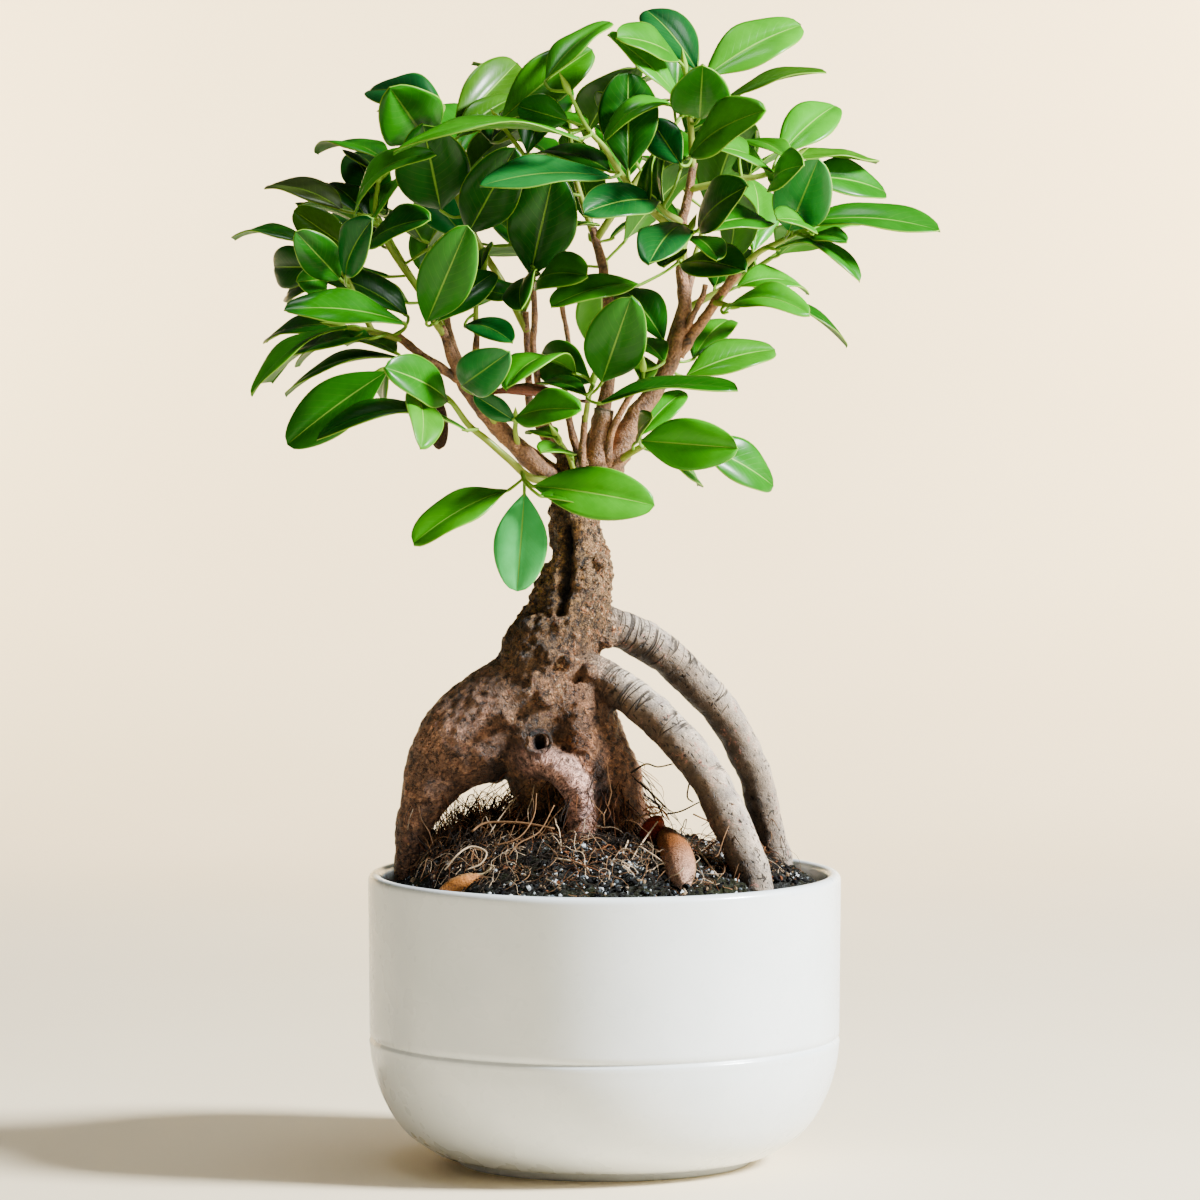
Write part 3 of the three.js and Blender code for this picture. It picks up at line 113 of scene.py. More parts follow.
# Each leafy shoot: a letter for each of its leaves, naming its colour and the light, shade and sheen
# painted on it, the knots of its stem, and its leaves as
# [base x, base z, tip x, tip z, how wide it looks, depth y of the base, how much deeper the tip lies],
# and at the end the arch, if it isn't the usual one.
SHOOTS = {
    "front_left": ("blbmdgb", [[-17, 231, -5, 1.5], [-25, 232, -12, 1.4], [-32, 238, -15, 1.3],
        [-40, 245, -18, 1.2], [-46, 250, -20, 1.1], [-53, 259, -24, 0.9], [-62, 263, -26, 0.7]],
        [[-24, 229, 17, 222.5, 18, -18, -8], [-22, 226, 4, 218.5, 5, -13, 24],
         [-32, 228, -64.5, 209.5, 12, -18, -14], [-27, 227, -29.5, 193.5, 18.5, -18, -4, 0.05],
         [-46, 248, -97, 245, 5.5, -32, -10, 0.15], [-53, 258, -74, 269, 14, -27, -30],
         [-65, 262, -62, 242, 11, -27, -28, 0.1]]),
    "left_low": ("odgo", [[-60, 272, -16, 1.1], [-67, 272, -20, 1], [-74, 268.5, -22, 0.8]],
        [[-70, 274, -87, 277, 5, -20, 30], [-69, 272.5, -107.5, 259.5, 3.5, -18, 10, 0.11],
         [-73, 268, -107, 243, 18, -24, -6, 0.06], [-73, 268, -73, 256, 5, -20, 24]]),
    "left_mid": ("gdgbgd", [[-68, 278.5, -14.5, 1.2], [-79, 281.5, -14, 1.1], [-88, 283, -13, 0.8]],
        [[-67, 284, -108, 288.5, 11, -20, -8], [-66, 286, -95, 300, 11, -10, 20],
         [-88, 283, -114, 278, 6, -10, 26], [-86, 283, -119, 259.5, 5, -16, -8, 0.12],
         [-78, 279, -103, 270, 5, -8, 28, 0.1], [-84, 279, -112.5, 264.5, 4, -6, 26]]),
    "left_out": ("odtdgdgd", [[-78, 281, -13, 1.1], [-83, 291, -10, 1], [-88, 301, -8, 0.9],
        [-96, 307, -6, 0.7]],
        [[-83, 307, -104.5, 322, 13, -4, 8], [-89, 299, -104, 315, 14, -14, -20],
         [-87, 300, -78, 319, 12, -18, -28], [-81, 309, -59, 319, 9, -14, -30],
         [-102, 311, -124.5, 312.5, 3.5, -4, 28, 0.1], [-95, 303, -111, 303, 15, 0, 26],
         [-93, 299, -103.5, 298, 11, -12, -24], [-92, 299, -107, 293, 8, 4, 30]]),
    "left_up": ("gduddbb", [[-55, 283, -18, 1.2], [-63, 296, -10, 1.2], [-72, 309, -2, 1],
        [-77, 320, 2, 0.9], [-76, 332, 4, 0.7]],
        [[-72, 337, -96, 341.5, 4, 8, 30, 0.12], [-76, 333, -85, 340, 7, 10, 32],
         [-88, 322, -113, 330, 8, 2, 28], [-73, 322, -85, 341, 16, 14, 20], [-79, 318, -93, 331, 10, 6, 24],
         [-84, 318, -57, 341, 6, -6, -16, 0.2], [-78, 319, -57, 334.5, 3, 0, 28, 0.12]]),
    "left_top": ("tgdodo", [[-26, 281, 14, 1.3], [-34, 297, 15, 1.3], [-43, 312, 16, 1.2],
        [-50, 328, 16, 1.1], [-56, 344, 16, 0.9], [-58, 352, 16, 0.7]],
        [[-54, 357, -79, 362, 12, 20, 28], [-60, 346, -72, 363, 24, 10, -30],
         [-55, 322, -61, 351, 26, 6, -26], [-51, 349, -29.5, 371.5, 18, 20, 24],
         [-46, 314, -30, 343, 20, 6, -20], [-50, 346, -30, 360, 10, 12, 20]]),
    "mid_left": ("gd", [[-54, 280, -17.5, 1.3], [-58, 286, -21, 1.2], [-60, 292, -22, 0.9]],
        [[-60, 284, -46, 317, 19, -26, -18], [-57, 284, -37, 301, 12, -14, 28]]),
    "fork": ("td", [[-43.4, 284, -11, 1], [-43, 294, -9, 0.8], [-41.5, 299, -8, 0.6]],
        [[-47, 283, -31, 277.5, 8, -16, -22, 0.1], [-41, 301, -39, 310, 6, -8, 26]]),
    "mid_wand": ("gldddwdg", [[-24, 298, 8, 1], [-25, 306, 7, 0.9], [-27, 312, 6, 0.7]],
        [[-24, 300, -48, 301, 7, 0, 24, -0.27], [-23, 298, -6, 300, 12, 4, -34],
         [-24, 305, -2, 317, 5, 8, 30, 0.15], [-25, 300, -17, 335, 24, 2, -14, 0.06],
         [-27, 306, -40, 320, 8, 8, 32], [-46, 312, -62, 331, 15, 12, 20],
         [-24, 300, -28, 289, 8, 0, -30, 0.1], [-27, 288, -44, 290, 3, 4, 28, 0.12]]),
    "mid_low": ("wd", [[-36, 249, -11, 1.2], [-39, 254, -17, 1], [-43, 260, -21, 0.8]],
        [[-48, 263, -32, 274.5, 16, -24, -28, 0.1], [-38, 262, -37, 270, 6, -18, 28]]),
    "mid_sprout": ("tb", [[-29, 242, -9, 1.1], [-30, 247, -15, 0.9], [-30, 251, -20, 0.8]],
        [[-30, 251, -44, 260, 8, -23, -10], [-30, 252, -8, 255, 12, -24, -26]]),
    "centre_low": ("lggdd", [[-6.6, 251, -9, 1], [-5.5, 258, -11, 0.9], [-4, 264, -13, 0.7]],
        [[-9.5, 267, -33, 262, 3.5, -14, -32, 0.19], [-4, 264, -21, 274, 16, -6, 32],
         [-1, 264, 9, 293, 21, -16, -20], [-6, 260, -24, 262, 4, -12, 30, 0.1],
         [-2, 257, 45, 261.5, 5, -16, -8, 0.07]]),
    "centre_stub": ("ob", [[-10, 233, -7, 1], [-12, 239, -13, 0.8], [-15, 244, -15, 0.6]],
        [[-16, 245, -25, 247, 4, -14, 26], [-11, 239, -21.5, 240.5, 3, -14, -24]]),
    "centre_twig": ("og", [[12, 264.5, -9, 0.9], [13, 266, -12, 0.8], [13, 268, -14, 0.7]],
        [[13, 263, 12, 273, 9, -10, 28], [20, 271, 10, 278, 8, -6, 32]]),
    "right_low": ("bbggo", [[4, 237, -1, 1.4], [10, 241, -6, 1.2], [17, 244, -8, 1], [27, 243, -9, 0.8]],
        [[12, 246, 27, 261, 10, -2, 28], [12, 244.5, 45, 242, 18, -13, -16], [13, 242, 32, 229.5, 6, 0, 26],
         [28.5, 244.5, 57, 229, 14, -4, 18], [12, 245, 16, 252, 4, -10, -22]]),
    "right_behind": ("dll", [[21, 268.5, 3, 1.3], [24, 271, 14, 1], [25, 273, 24, 0.8]],
        [[20, 278, 6, 295.5, 14, 14, 28], [30, 272, 42, 285, 12, 20, 30],
         [27, 266, 57.5, 275, 12, 12, 22]]),
    "right_mid": ("tdgdddb", [[26, 303, 4, 1.3], [27, 311, -5, 1.1], [29, 316, -11, 0.9]],
        [[26, 317, 15, 304, 15, -16, -36], [32, 316, 48, 330, 13, -10, -34], [32, 315, 55, 318, 10, -6, 32],
         [28, 313, 38, 305.5, 7, -14, -34], [26, 308, 20, 303, 6, -12, -22],
         [26, 304, 47.5, 301.5, 12, -6, -30], [12, 297, -18, 289.5, 9, -8, -22]]),
    "right_arm": ("bb", [[37, 291, 2, 1.2], [40, 290.5, -4, 1], [42, 290, -8, 0.7]],
        [[44, 296, 68, 294.5, 7, 4, 24, 0.12], [40, 287.5, 69, 287, 8, -12, -20, 0.18]]),
    "right_centre": ("tddg", [[26, 318, 5, 1.3], [21, 321, -3, 1], [17, 325, -8, 0.8]],
        [[18, 325, -7, 321, 13, -14, -30], [20, 324, 20, 342.5, 6, 0, 28], [15, 323, 16, 340, 5, -4, 28],
         [26, 338, 17, 351, 9, 0, 32]]),
    "right_up": ("ldglbog", [[28.5, 329, 5, 1.3], [42, 332, 2, 1.1], [54, 334, 0, 1], [62, 339, -2, 0.8]],
        [[57, 330, 36, 343, 4, -6, -28, 0.12], [49, 334, 51, 345.5, 6, 4, 30],
         [57, 331, 67, 337, 10, -10, -34], [47, 345, 61, 340, 5, -6, -30],
         [58.5, 340, 77.5, 357, 15, 2, 26], [63, 339.5, 91.5, 338, 3, 0, 24, 0.04],
         [66, 333, 94.5, 328, 12, 4, 24]]),
    "right_out": ("wgdlgg", [[46, 302.5, -0.8, 1.3], [52, 308, -3, 1.1], [58, 311, -5, 1],
        [66, 315, -7, 0.8]],
        [[62, 315, 72, 339.5, 20, -12, -26], [66, 317.5, 113, 315, 9, -10, -6],
         [66, 317, 69.5, 324, 4, -4, 24], [70, 314, 58, 319, 4, -8, -28],
         [69, 313, 81.5, 311.5, 5, -10, -28], [57, 309, 86, 298, 4, -8, -18, 0.2]]),
    "top_left": ("wddblbgl", [[26, 313, 5, 1.4], [18, 320, -1, 1.3], [12, 326, -4, 1.2], [5, 335, -9, 1.1],
        [0, 343, -13, 1], [-6, 350, -17, 0.8], [-12, 362, -22, 0.6]],
        [[2, 333, -42, 330, 10, -16, -10], [2, 335, -22, 341, 7, -6, 30],
         [8, 335, 8, 368, 21, -2, 14, 0.06], [-12, 349, -34, 354, 5, -14, 28, 0.12],
         [-6, 348, -24, 354, 3, -12, 30], [-8, 346, -71, 341, 3, -24, -8, 0.1],
         [-12, 352, -29, 357, 13, -15, -4], [-20, 365, 2, 385, 8, -14, 20]]),
    "top_middle": ("gld", [[-14.5, 291, 12, 1.1], [-17, 310, 11, 1.1], [-22, 328, 9, 1], [-27, 340, 7, 0.9],
        [-34, 350, 5, 0.7]],
        [[-26, 341, -14, 364, 16, 8, 26], [-35, 352, -4, 376, 17, 0, 10],
         [-38, 345, -31, 360, 16, 10, 32]]),
    "top": ("tlbgbobbt", [[29.7, 335.5, 6, 1.3], [29, 350, 4, 1.1], [28, 361, 2, 0.9], [27, 369, 0, 0.7]],
        [[31, 369, 14, 389, 14, 4, 26], [25, 372, 4, 380, 9, -4, -30],
         [27, 356, 1, 381, 7.5, -10, -14, 0.06], [32, 353, 33, 371, 21, -8, -34],
         [33, 366, 66, 384, 16, 6, 20], [36, 355, 74.5, 368.5, 3.5, 2, -6, 0.08],
         [29, 340, 54, 355.5, 14, -10, -26, 0.08], [29, 354, 0, 345, 5, -10, -24, 0.25],
         [26, 337, 16, 352, 13, 6, 20]]),
    "dry_leaf_hanging": ("x", [[-50, 268, -15, 0.9], [-56, 268, -11, 0.8], [-60, 267, -8, 0.7]],
        [[-61, 264, -55.5, 241.5, 8, -7, -4, 0.05]]),
    "dry_sheath": ("y", [[-5.5, 258, -11, 0.8], [-5.7, 258, -14, 0.8], [-6, 258, -17, 0.7]],
        [[-7, 257.8, -38, 260.5, 3, -19, -10, 0.04]]),
    "back_right": ("", [[29.7, 303, 57.5, 1.4], [34, 318, 66, 1.1], [36, 332, 72, 0.7]], []),
    "back_right_side": ("", [[26, 288, 50, 1.4], [44, 298, 54, 1.1], [62, 310, 54, 0.7]], []),
    "back_left": ("", [[-54, 297, 50.5, 1.4], [-55, 318, 58, 1.1], [-50, 338, 60, 0.7]], []),
    "back_left_side": ("", [[-52.5, 281, 43.5, 1.4], [-64, 298, 47, 1.1], [-73, 314, 46, 0.7]], []),
    "back_middle": ("", [[0, 299, 33.7, 1.4], [0, 305, 54, 1.1], [-4, 312, 74, 0.7]], []),
    "back_top": ("", [[-4, 315, 38.7, 1.3], [-10, 334, 44, 1], [-12, 354, 48, 0.7]], []),
    "back_top_right": ("", [[-3, 312, 38, 1.4], [12, 334, 38, 1.1], [26, 354, 38, 0.7]], []),
}
# How many leaves of a shoot behind are grown by rule, and the seed for them.
WILD = {"back_right": (7, 13), "back_right_side": (6, 68), "back_left": (6, 34),
        "back_left_side": (6, 247), "back_middle": (5, 128), "back_top": (6, 399),
        "back_top_right": (4, 315)}

# Where a leaf may go instead, in this order: shifts and tilts in depth of those that the photograph
# shows, and turns round the stem and away from it of those grown by rule.
SLIDES = [[0, 0], [0, 6], [0, -6], [4, 0], [-4, 0], [4, 6], [-4, -6], [8, 0], [-8, 0], [0, 12], [0, -12],
    [8, 8], [-8, -8], [12, 0], [-12, 0], [6, -12], [-6, 12], [12, 12], [-12, -12], [16, 0], [-16, 0],
    [16, 14], [-16, -14], [10, -20], [-10, 20]]
TURNS = [[0, 0], [0.2, 0], [-0.2, 0], [0, 0.2], [0, -0.2], [0.4, 0], [-0.4, 0], [0.4, 0.25], [-0.4, -0.25],
    [0.6, 0.2], [-0.6, 0.2], [0.8, 0], [-0.8, 0], [0.5, -0.3], [-0.5, 0.35]]

# Each letter's colour carries painted light and shade: d holds painted shade, l painted light, and t, w and
# m a painted sheen; x and y are dry leaves.
LEAF_COLOURS_WITH_PAINTED_LIGHT = {  # linear: what colour the light gives a leaf
    "d": (0.0042, 0.072, 0.0010), "g": (0.0095, 0.130, 0.0012), "b": (0.034, 0.235, 0.0015),
    "l": (0.024, 0.185, 0.0005), "t": (0.004, 0.088, 0.014), "w": (0.014, 0.170, 0.036),
    "m": (0.038, 0.430, 0.105), "o": (0.032, 0.130, 0.0015), "u": (0.045, 0.070, 0.008),
    "x": (0.055, 0.020, 0.007), "y": (0.120, 0.030, 0.008),
}

# ---- small helpers ----

def unit(v):
    return v / np.linalg.norm(v)


def clip01(values):
    return np.clip(values, 0, 1)


def seen(x, z, y):
    """The place at depth y that looks from the eye as if it were at (x, z) in the plane y = 0."""
    spread = 1 + y / EYE["distance"]
    return np.array([x * spread, y, EYE["height"] + (z - EYE["height"]) * spread])


def placed(knots):
    return [(seen(x, z, y), r) for x, z, y, r in knots]


def fractal(points, scale, octaves=3):
    return np.array([noise.fractal(Vector(p), 0.9, 2.1, octaves) for p in points * scale])


def smooth_line(line, steps):
    """The smooth line through (place, radius) knots, with `steps` places to each stretch."""
    rows = np.array([[*p, r] for p, r in line])
    rows = np.vstack([2 * rows[0] - rows[1], rows, 2 * rows[-1] - rows[-2]])
    made = []
    for a, b, c, d in zip(rows, rows[1:], rows[2:], rows[3:]):
        for t in np.arange(steps) / steps:
            made.append((2 * b + (c - a) * t + (2 * a - 5 * b + 4 * c - d) * t ** 2
                         + (3 * b - a - 3 * c + d) * t ** 3) / 2)
    made.append(rows[-2])
    return [(row[:3], row[3]) for row in made]


def ring_faces(rings, sides, first=0):
    """The faces between rings of points that follow each other, from point number `first` on."""
    faces = []
    for i in range(rings - 1):
        for k in range(sides):
            a, b = first + i * sides + k, first + i * sides + (k + 1) % sides
            faces.append((a, b, b + sides, a + sides))
    return faces


def tube(line, sides, grow=0.0, ring=None):
    """Points and faces of a tube along (place, radius) knots, closed at both ends. A ring of
    (turn, share of the radius) pairs gives it another cross-section."""
    centres = np.array([p for p, _ in line])
    last = len(centres) - 1
    ring = ring or [(2 * math.pi * k / sides, 1.0) for k in range(sides)]
    sides = len(ring)
    side = None
    points = []
    for i, centre in enumerate(centres):
        along = unit(centres[min(i + 1, last)] - centres[max(i - 1, 0)])
        if side is None:
            side = np.array([0.0, 1.0, 0.0]) - along * along[1]
        side = unit(side - along * side.dot(along))
        other = np.cross(along, side)
        r = line[i][1] + grow
        points.extend(centre + r * share * (math.cos(a) * side + math.sin(a) * other) for a, share in ring)
    faces = ring_faces(len(centres), sides)
    faces.append(tuple(reversed(range(sides))))
    faces.append(tuple(last * sides + k for k in range(sides)))
    return np.array(points), faces


def paint(mesh, tints, places, smooth=True):
    """Writes a tint and a texture place for each point."""
    tint = mesh.attributes.new("tint", "FLOAT_COLOR", "POINT")
    tint.data.foreach_set("color", tints.astype(np.float32).ravel())
    uv = mesh.uv_layers.new(name="place")
    corner = np.empty(len(mesh.loops), np.int32)
    mesh.loops.foreach_get("vertex_index", corner)
    uv.data.foreach_set("uv", places[corner].astype(np.float32).ravel())
    mesh.polygons.foreach_set("use_smooth", [smooth] * len(mesh.polygons))
    mesh.update()


def dress(obj, nodes, slot, materials):
    if obj.name not in bpy.context.scene.collection.objects:
        bpy.context.scene.collection.objects.link(obj)
    obj.data.materials.clear()
    for material in materials:
        obj.data.materials.append(material)
    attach(obj, "root")
    if nodes:
        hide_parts(*nodes)


class Skin:
    """Points, faces, colours and texture places of a piece that is being put together."""

    def __init__(self):
        self.points, self.faces, self.tints, self.uvs, self.looks = [], [], [], [], []
        self.count = 0

    def add(self, points, faces, tint=(1, 1, 1), uv=None, look=0):
        """`tint` is one colour or one for each point, with or without an alpha."""
        n = len(points)
        tint = np.broadcast_to(np.asarray(tint, float), (n, np.shape(tint)[-1]))
        if tint.shape[1] == 3:
            tint = np.hstack([tint, np.ones((n, 1))])
        self.points.append(np.asarray(points, float))
        self.tints.append(tint)
        self.uvs.append(np.zeros((n, 2)) if uv is None else uv)
        self.faces.extend(tuple(k + self.count for k in face) for face in faces)
        self.looks.extend([look] * len(faces))
        self.count += n

    def mesh(self, name):
        mesh = bpy.data.meshes.new(name)
        mesh.from_pydata((np.vstack(self.points) * MM).tolist(), [], self.faces)
        return mesh

    def piece(self, name, nodes, slot, materials, smooth=True):
        mesh = self.mesh(name)
        mesh.polygons.foreach_set("material_index", np.array(self.looks, np.int32))
        paint(mesh, np.vstack(self.tints), np.vstack(self.uvs), smooth)
        dress(bpy.data.objects.new(name, mesh), nodes, slot, materials)


# ---- materials ----

class Nodes:
    """A few short names for building a material's nodes."""

    def __init__(self, name):
        self.material = bpy.data.materials.new(name)
        self.material.use_nodes = True
        self.tree = self.material.node_tree

    def put(self, socket, value):
        if isinstance(value, bpy.types.NodeSocket):
            self.tree.links.new(value, socket)
        else:
            socket.default_value = value

    def node(self, kind, sockets=None, **values):
        made = self.tree.nodes.new("ShaderNode" + kind)
        for key, value in values.items():
            setattr(made, key, value)
        for key, value in (sockets or {}).items():
            self.put(made.inputs[key], value)
        return made

    def maths(self, operation, *values):
        return self.node("Math", dict(enumerate(values)), operation=operation).outputs[0]

    def times(self, a, b):
        return self.maths("MULTIPLY", a, b)

    def plus(self, a, b):
        return self.maths("ADD", a, b)

    def minus(self, a, b):
        return self.maths("SUBTRACT", a, b)

    def ramp(self, value, *stops):
        """Stops are (place, colour), where a colour may be one number for a grey."""
        made = self.node("ValToRGB", {0: value})
        elements = made.color_ramp.elements
        while len(elements) < len(stops):
            elements.new(0.5)
        for element, (place, colour) in zip(elements, stops):
            element.position = place
            element.color = (*(colour if isinstance(colour, tuple) else (colour,) * 3), 1)
        return made.outputs[0]

    def rising(self, value, low, high):
        return self.ramp(value, (low, 0), (high, 1))

    def falling(self, value, low, high):
        return self.ramp(value, (low, 1), (high, 0))

    def mix(self, share, a, b, how="MIX"):
        colours = {6: a, 7: b}
        for key, value in colours.items():
            if isinstance(value, tuple):
                colours[key] = (*value, 1)
        return self.node("Mix", {0: share, **colours}, data_type="RGBA", blend_type=how).outputs[2]

    def stain(self, a, b):
        return self.mix(1.0, a, b, "MULTIPLY")

    def space(self):
        """The piece's own coordinates in millimetres."""
        place = self.node("TexCoord").outputs["Object"]
        return self.node("Mapping", {"Vector": place, "Scale": [1 / MM] * 3}).outputs[0]

    def noise(self, where, scale, detail=3.0, rough=0.55):
        values = {"Vector": where, "Scale": scale, "Detail": detail, "Roughness": rough}
        return self.node("TexNoise", values).outputs[0]

    def cells(self, where, scale):
        return self.node("TexVoronoi", {"Vector": where, "Scale": scale}).outputs["Distance"]

    def stored(self, name):
        return self.node("Attribute", attribute_name=name).outputs

    def place(self):
        """What was stored as the place along and the place round or across."""
        return self.node("SeparateXYZ", {0: self.node("UVMap", uv_map="place").outputs[0]}).outputs[:2]

    def bump(self, height, distance, strength=1.0):
        values = {"Height": height, "Distance": distance * MM, "Strength": strength}
        return self.node("Bump", values).outputs[0]

    def finish(self, colour, rough, normal=None, **fixed):
        inputs = self.tree.nodes["Principled BSDF"].inputs
        self.put(inputs["Base Color"], colour)
        self.put(inputs["Roughness"], rough)
        if normal is not None:
            self.put(inputs["Normal"], normal)
        for key, value in fixed.items():
            inputs[key.replace("_", " ")].default_value = value
        return self.material


def glaze_look():
    n = Nodes("glaze")
    where = n.space()
    colour = n.ramp(n.noise(where, 0.035), (0.3, (0.70, 0.755, 0.78)), (0.7, (0.78, 0.825, 0.85)))
    speck = n.ramp(n.cells(where, 0.12), (0.0, 0.6), (0.035, 1))
    colour = n.mix(0.25, colour, speck, "MULTIPLY")
    rough = n.ramp(n.noise(where, 0.09, 2), (0.3, 0.24), (0.7, 0.34))
    normal = n.bump(n.noise(where, 0.22, 2), 0.05, 0.6)
    return n.finish(colour, rough, normal, Coat_Weight=0.35, Coat_Roughness=0.12)


def soil_look():
    n = Nodes("soil")
    where = n.space()
    grain = n.noise(where, 1.1, 5, 0.7)
    colour = n.ramp(grain, (0.34, (0.0025, 0.0025, 0.003)), (0.50, (0.012, 0.011, 0.008)),
                    (0.62, (0.045, 0.048, 0.048)), (0.69, (0.18, 0.19, 0.19)), (0.76, (0.60, 0.66, 0.70)))
    moss = n.times(n.rising(n.noise(where, 0.05), 0.46, 0.60), 0.5)
    colour = n.mix(moss, colour, (0.022, 0.026, 0.006))
    height = n.plus(n.times(n.cells(where, 0.55), 0.7), grain)
    return n.finish(colour, 0.95, n.bump(height, 1.3), Specular_IOR_Level=0.08)


def tinted_look(name, rough, scale=1.2, depth=0.25, spread=0.45, **fixed):
    """Whatever colour its points have, mottled."""
    n = Nodes(name)
    grain = n.noise(n.space(), scale, 4)
    colour = n.stain(n.stored("tint")["Color"], n.ramp(grain, (0.3, 1 - spread), (0.7, 1)))
    return n.finish(colour, rough, n.bump(grain, depth), **fixed)


def bark_scars(n, where, along, round_it, smooth_bark):
    """The short dark rings, dashes and clusters of dots on smooth bark, and its fine scales."""

    def stretched(by_along, by_round, scale, detail):
        strip = n.node("CombineXYZ", {0: n.times(along, by_along), 1: n.times(round_it, by_round)})
        return n.noise(strip.outputs[0], scale, detail, 0.5)

    rings = n.maths("ABSOLUTE", n.minus(stretched(0.42, 0.05, 0.8, 1), 0.5))
    start = n.maths("MULTIPLY_ADD", along, -0.006, n.noise(where, 0.09, 2))
    cracks = n.times(n.falling(rings, 0.012, 0.034), n.rising(start, 0.24, 0.34))
    dashes = n.rising(stretched(0.28, 1.0, 1.1, 1), 0.66, 0.70)
    clusters = n.rising(n.noise(where, 0.08, 2), 0.48, 0.54)
    clusters = n.times(n.rising(n.noise(where, 0.7, 1), 0.62, 0.66), clusters)
    scars = n.maths("MAXIMUM", cracks, n.maths("MAXIMUM", dashes, clusters))
    return n.times(scars, n.ramp(smooth_bark, (0.62, 0.15), (0.85, 1))), stretched(1.7, 0.62, 1.0, 3)


def bark_look():
    """tint: the colour, with painted highlight and painted shade in it, and in its alpha how rough the bark
    is; crumbs: how much loose crust it bears;
    place: millimetres along and round the limb."""
    n = Nodes("bark")
    where = n.space()
    tint = n.stored("tint")
    rough_bark = tint["Alpha"]
    smooth_bark = n.minus(1.0, rough_bark)
    fine, middle = n.noise(where, 1.3, 4, 0.75), n.noise(where, 0.42, 4, 0.7)
    patch = n.noise(where, 0.13, 3, 0.6)
    patches = n.ramp(patch, (0.35, (0.74, 0.74, 0.76)), (0.5, (1.0, 1.0, 0.95)), (0.66, (1.3, 1.2, 1.1)))
    colour = n.stain(tint["Color"], patches)
    grains = n.stain(n.ramp(fine, (0.38, (0.26, 0.24, 0.22)), (0.5, 0.95), (0.62, (2.1, 2.0, 1.9))),
                     n.ramp(middle, (0.38, (0.30, 0.28, 0.27)), (0.5, 0.95), (0.62, (1.7, 1.6, 1.45))))
    colour = n.mix(n.maths("MULTIPLY_ADD", rough_bark, 0.8, 0.15), colour, n.stain(colour, grains))
    gate = n.maths("MULTIPLY_ADD", n.stored("crumbs")["Fac"], 0.30, n.noise(where, 0.17, 2))
    crumb = n.times(n.rising(n.noise(where, 0.62, 3, 0.65), 0.51, 0.56), n.rising(gate, 0.56, 0.66))
    crumb_colour = n.ramp(n.noise(where, 0.8, 2), (0.36, (0.24, 0.085, 0.030)), (0.5, (0.46, 0.20, 0.075)),
                          (0.68, (0.74, 0.54, 0.34)))
    crumb_colour = n.mix(0.8, crumb_colour, n.ramp(fine, (0.40, 0.3), (0.56, 1.3)), "MULTIPLY")
    colour = n.mix(crumb, colour, crumb_colour)
    pits = n.falling(n.noise(where, 0.5, 3, 0.65), 0.39, 0.44)
    pits = n.times(pits, n.ramp(rough_bark, (0.12, 0), (0.34, 0.8), (1.0, 1)))
    colour = n.mix(n.times(pits, 0.9), colour, (0.014, 0.009, 0.006))
    along, round_it = n.place()
    scars, scales = bark_scars(n, where, along, round_it, smooth_bark)
    scaly = n.ramp(rough_bark, (0.12, 0), (0.34, 1), (0.60, 0.45))
    scales = n.times(scales, scaly)
    scale_shade = n.ramp(scales, (0.38, (0.50, 0.46, 0.44)), (0.50, 1), (0.60, (1.5, 1.45, 1.4)))
    colour = n.mix(scaly, colour, n.stain(colour, scale_shade))
    pink = n.times(n.rising(n.noise(where, 0.06, 2), 0.48, 0.56), n.times(smooth_bark, 0.7))
    pink = n.times(n.rising(n.noise(where, 0.5, 3, 0.7), 0.58, 0.66), pink)
    colour = n.mix(pink, colour, (0.42, 0.17, 0.12))
    colour = n.mix(n.times(scars, 0.9), colour, (0.016, 0.012, 0.010))
    height = n.times(n.plus(fine, middle), n.maths("MULTIPLY_ADD", rough_bark, 0.8, 0.35))
    height = n.plus(n.plus(height, n.times(scales, 1.2)), n.times(crumb, 0.8))
    height = n.minus(height, n.plus(scars, pits))
    return n.finish(colour, 0.5, n.bump(height, 1.7), Specular_IOR_Level=0.3)


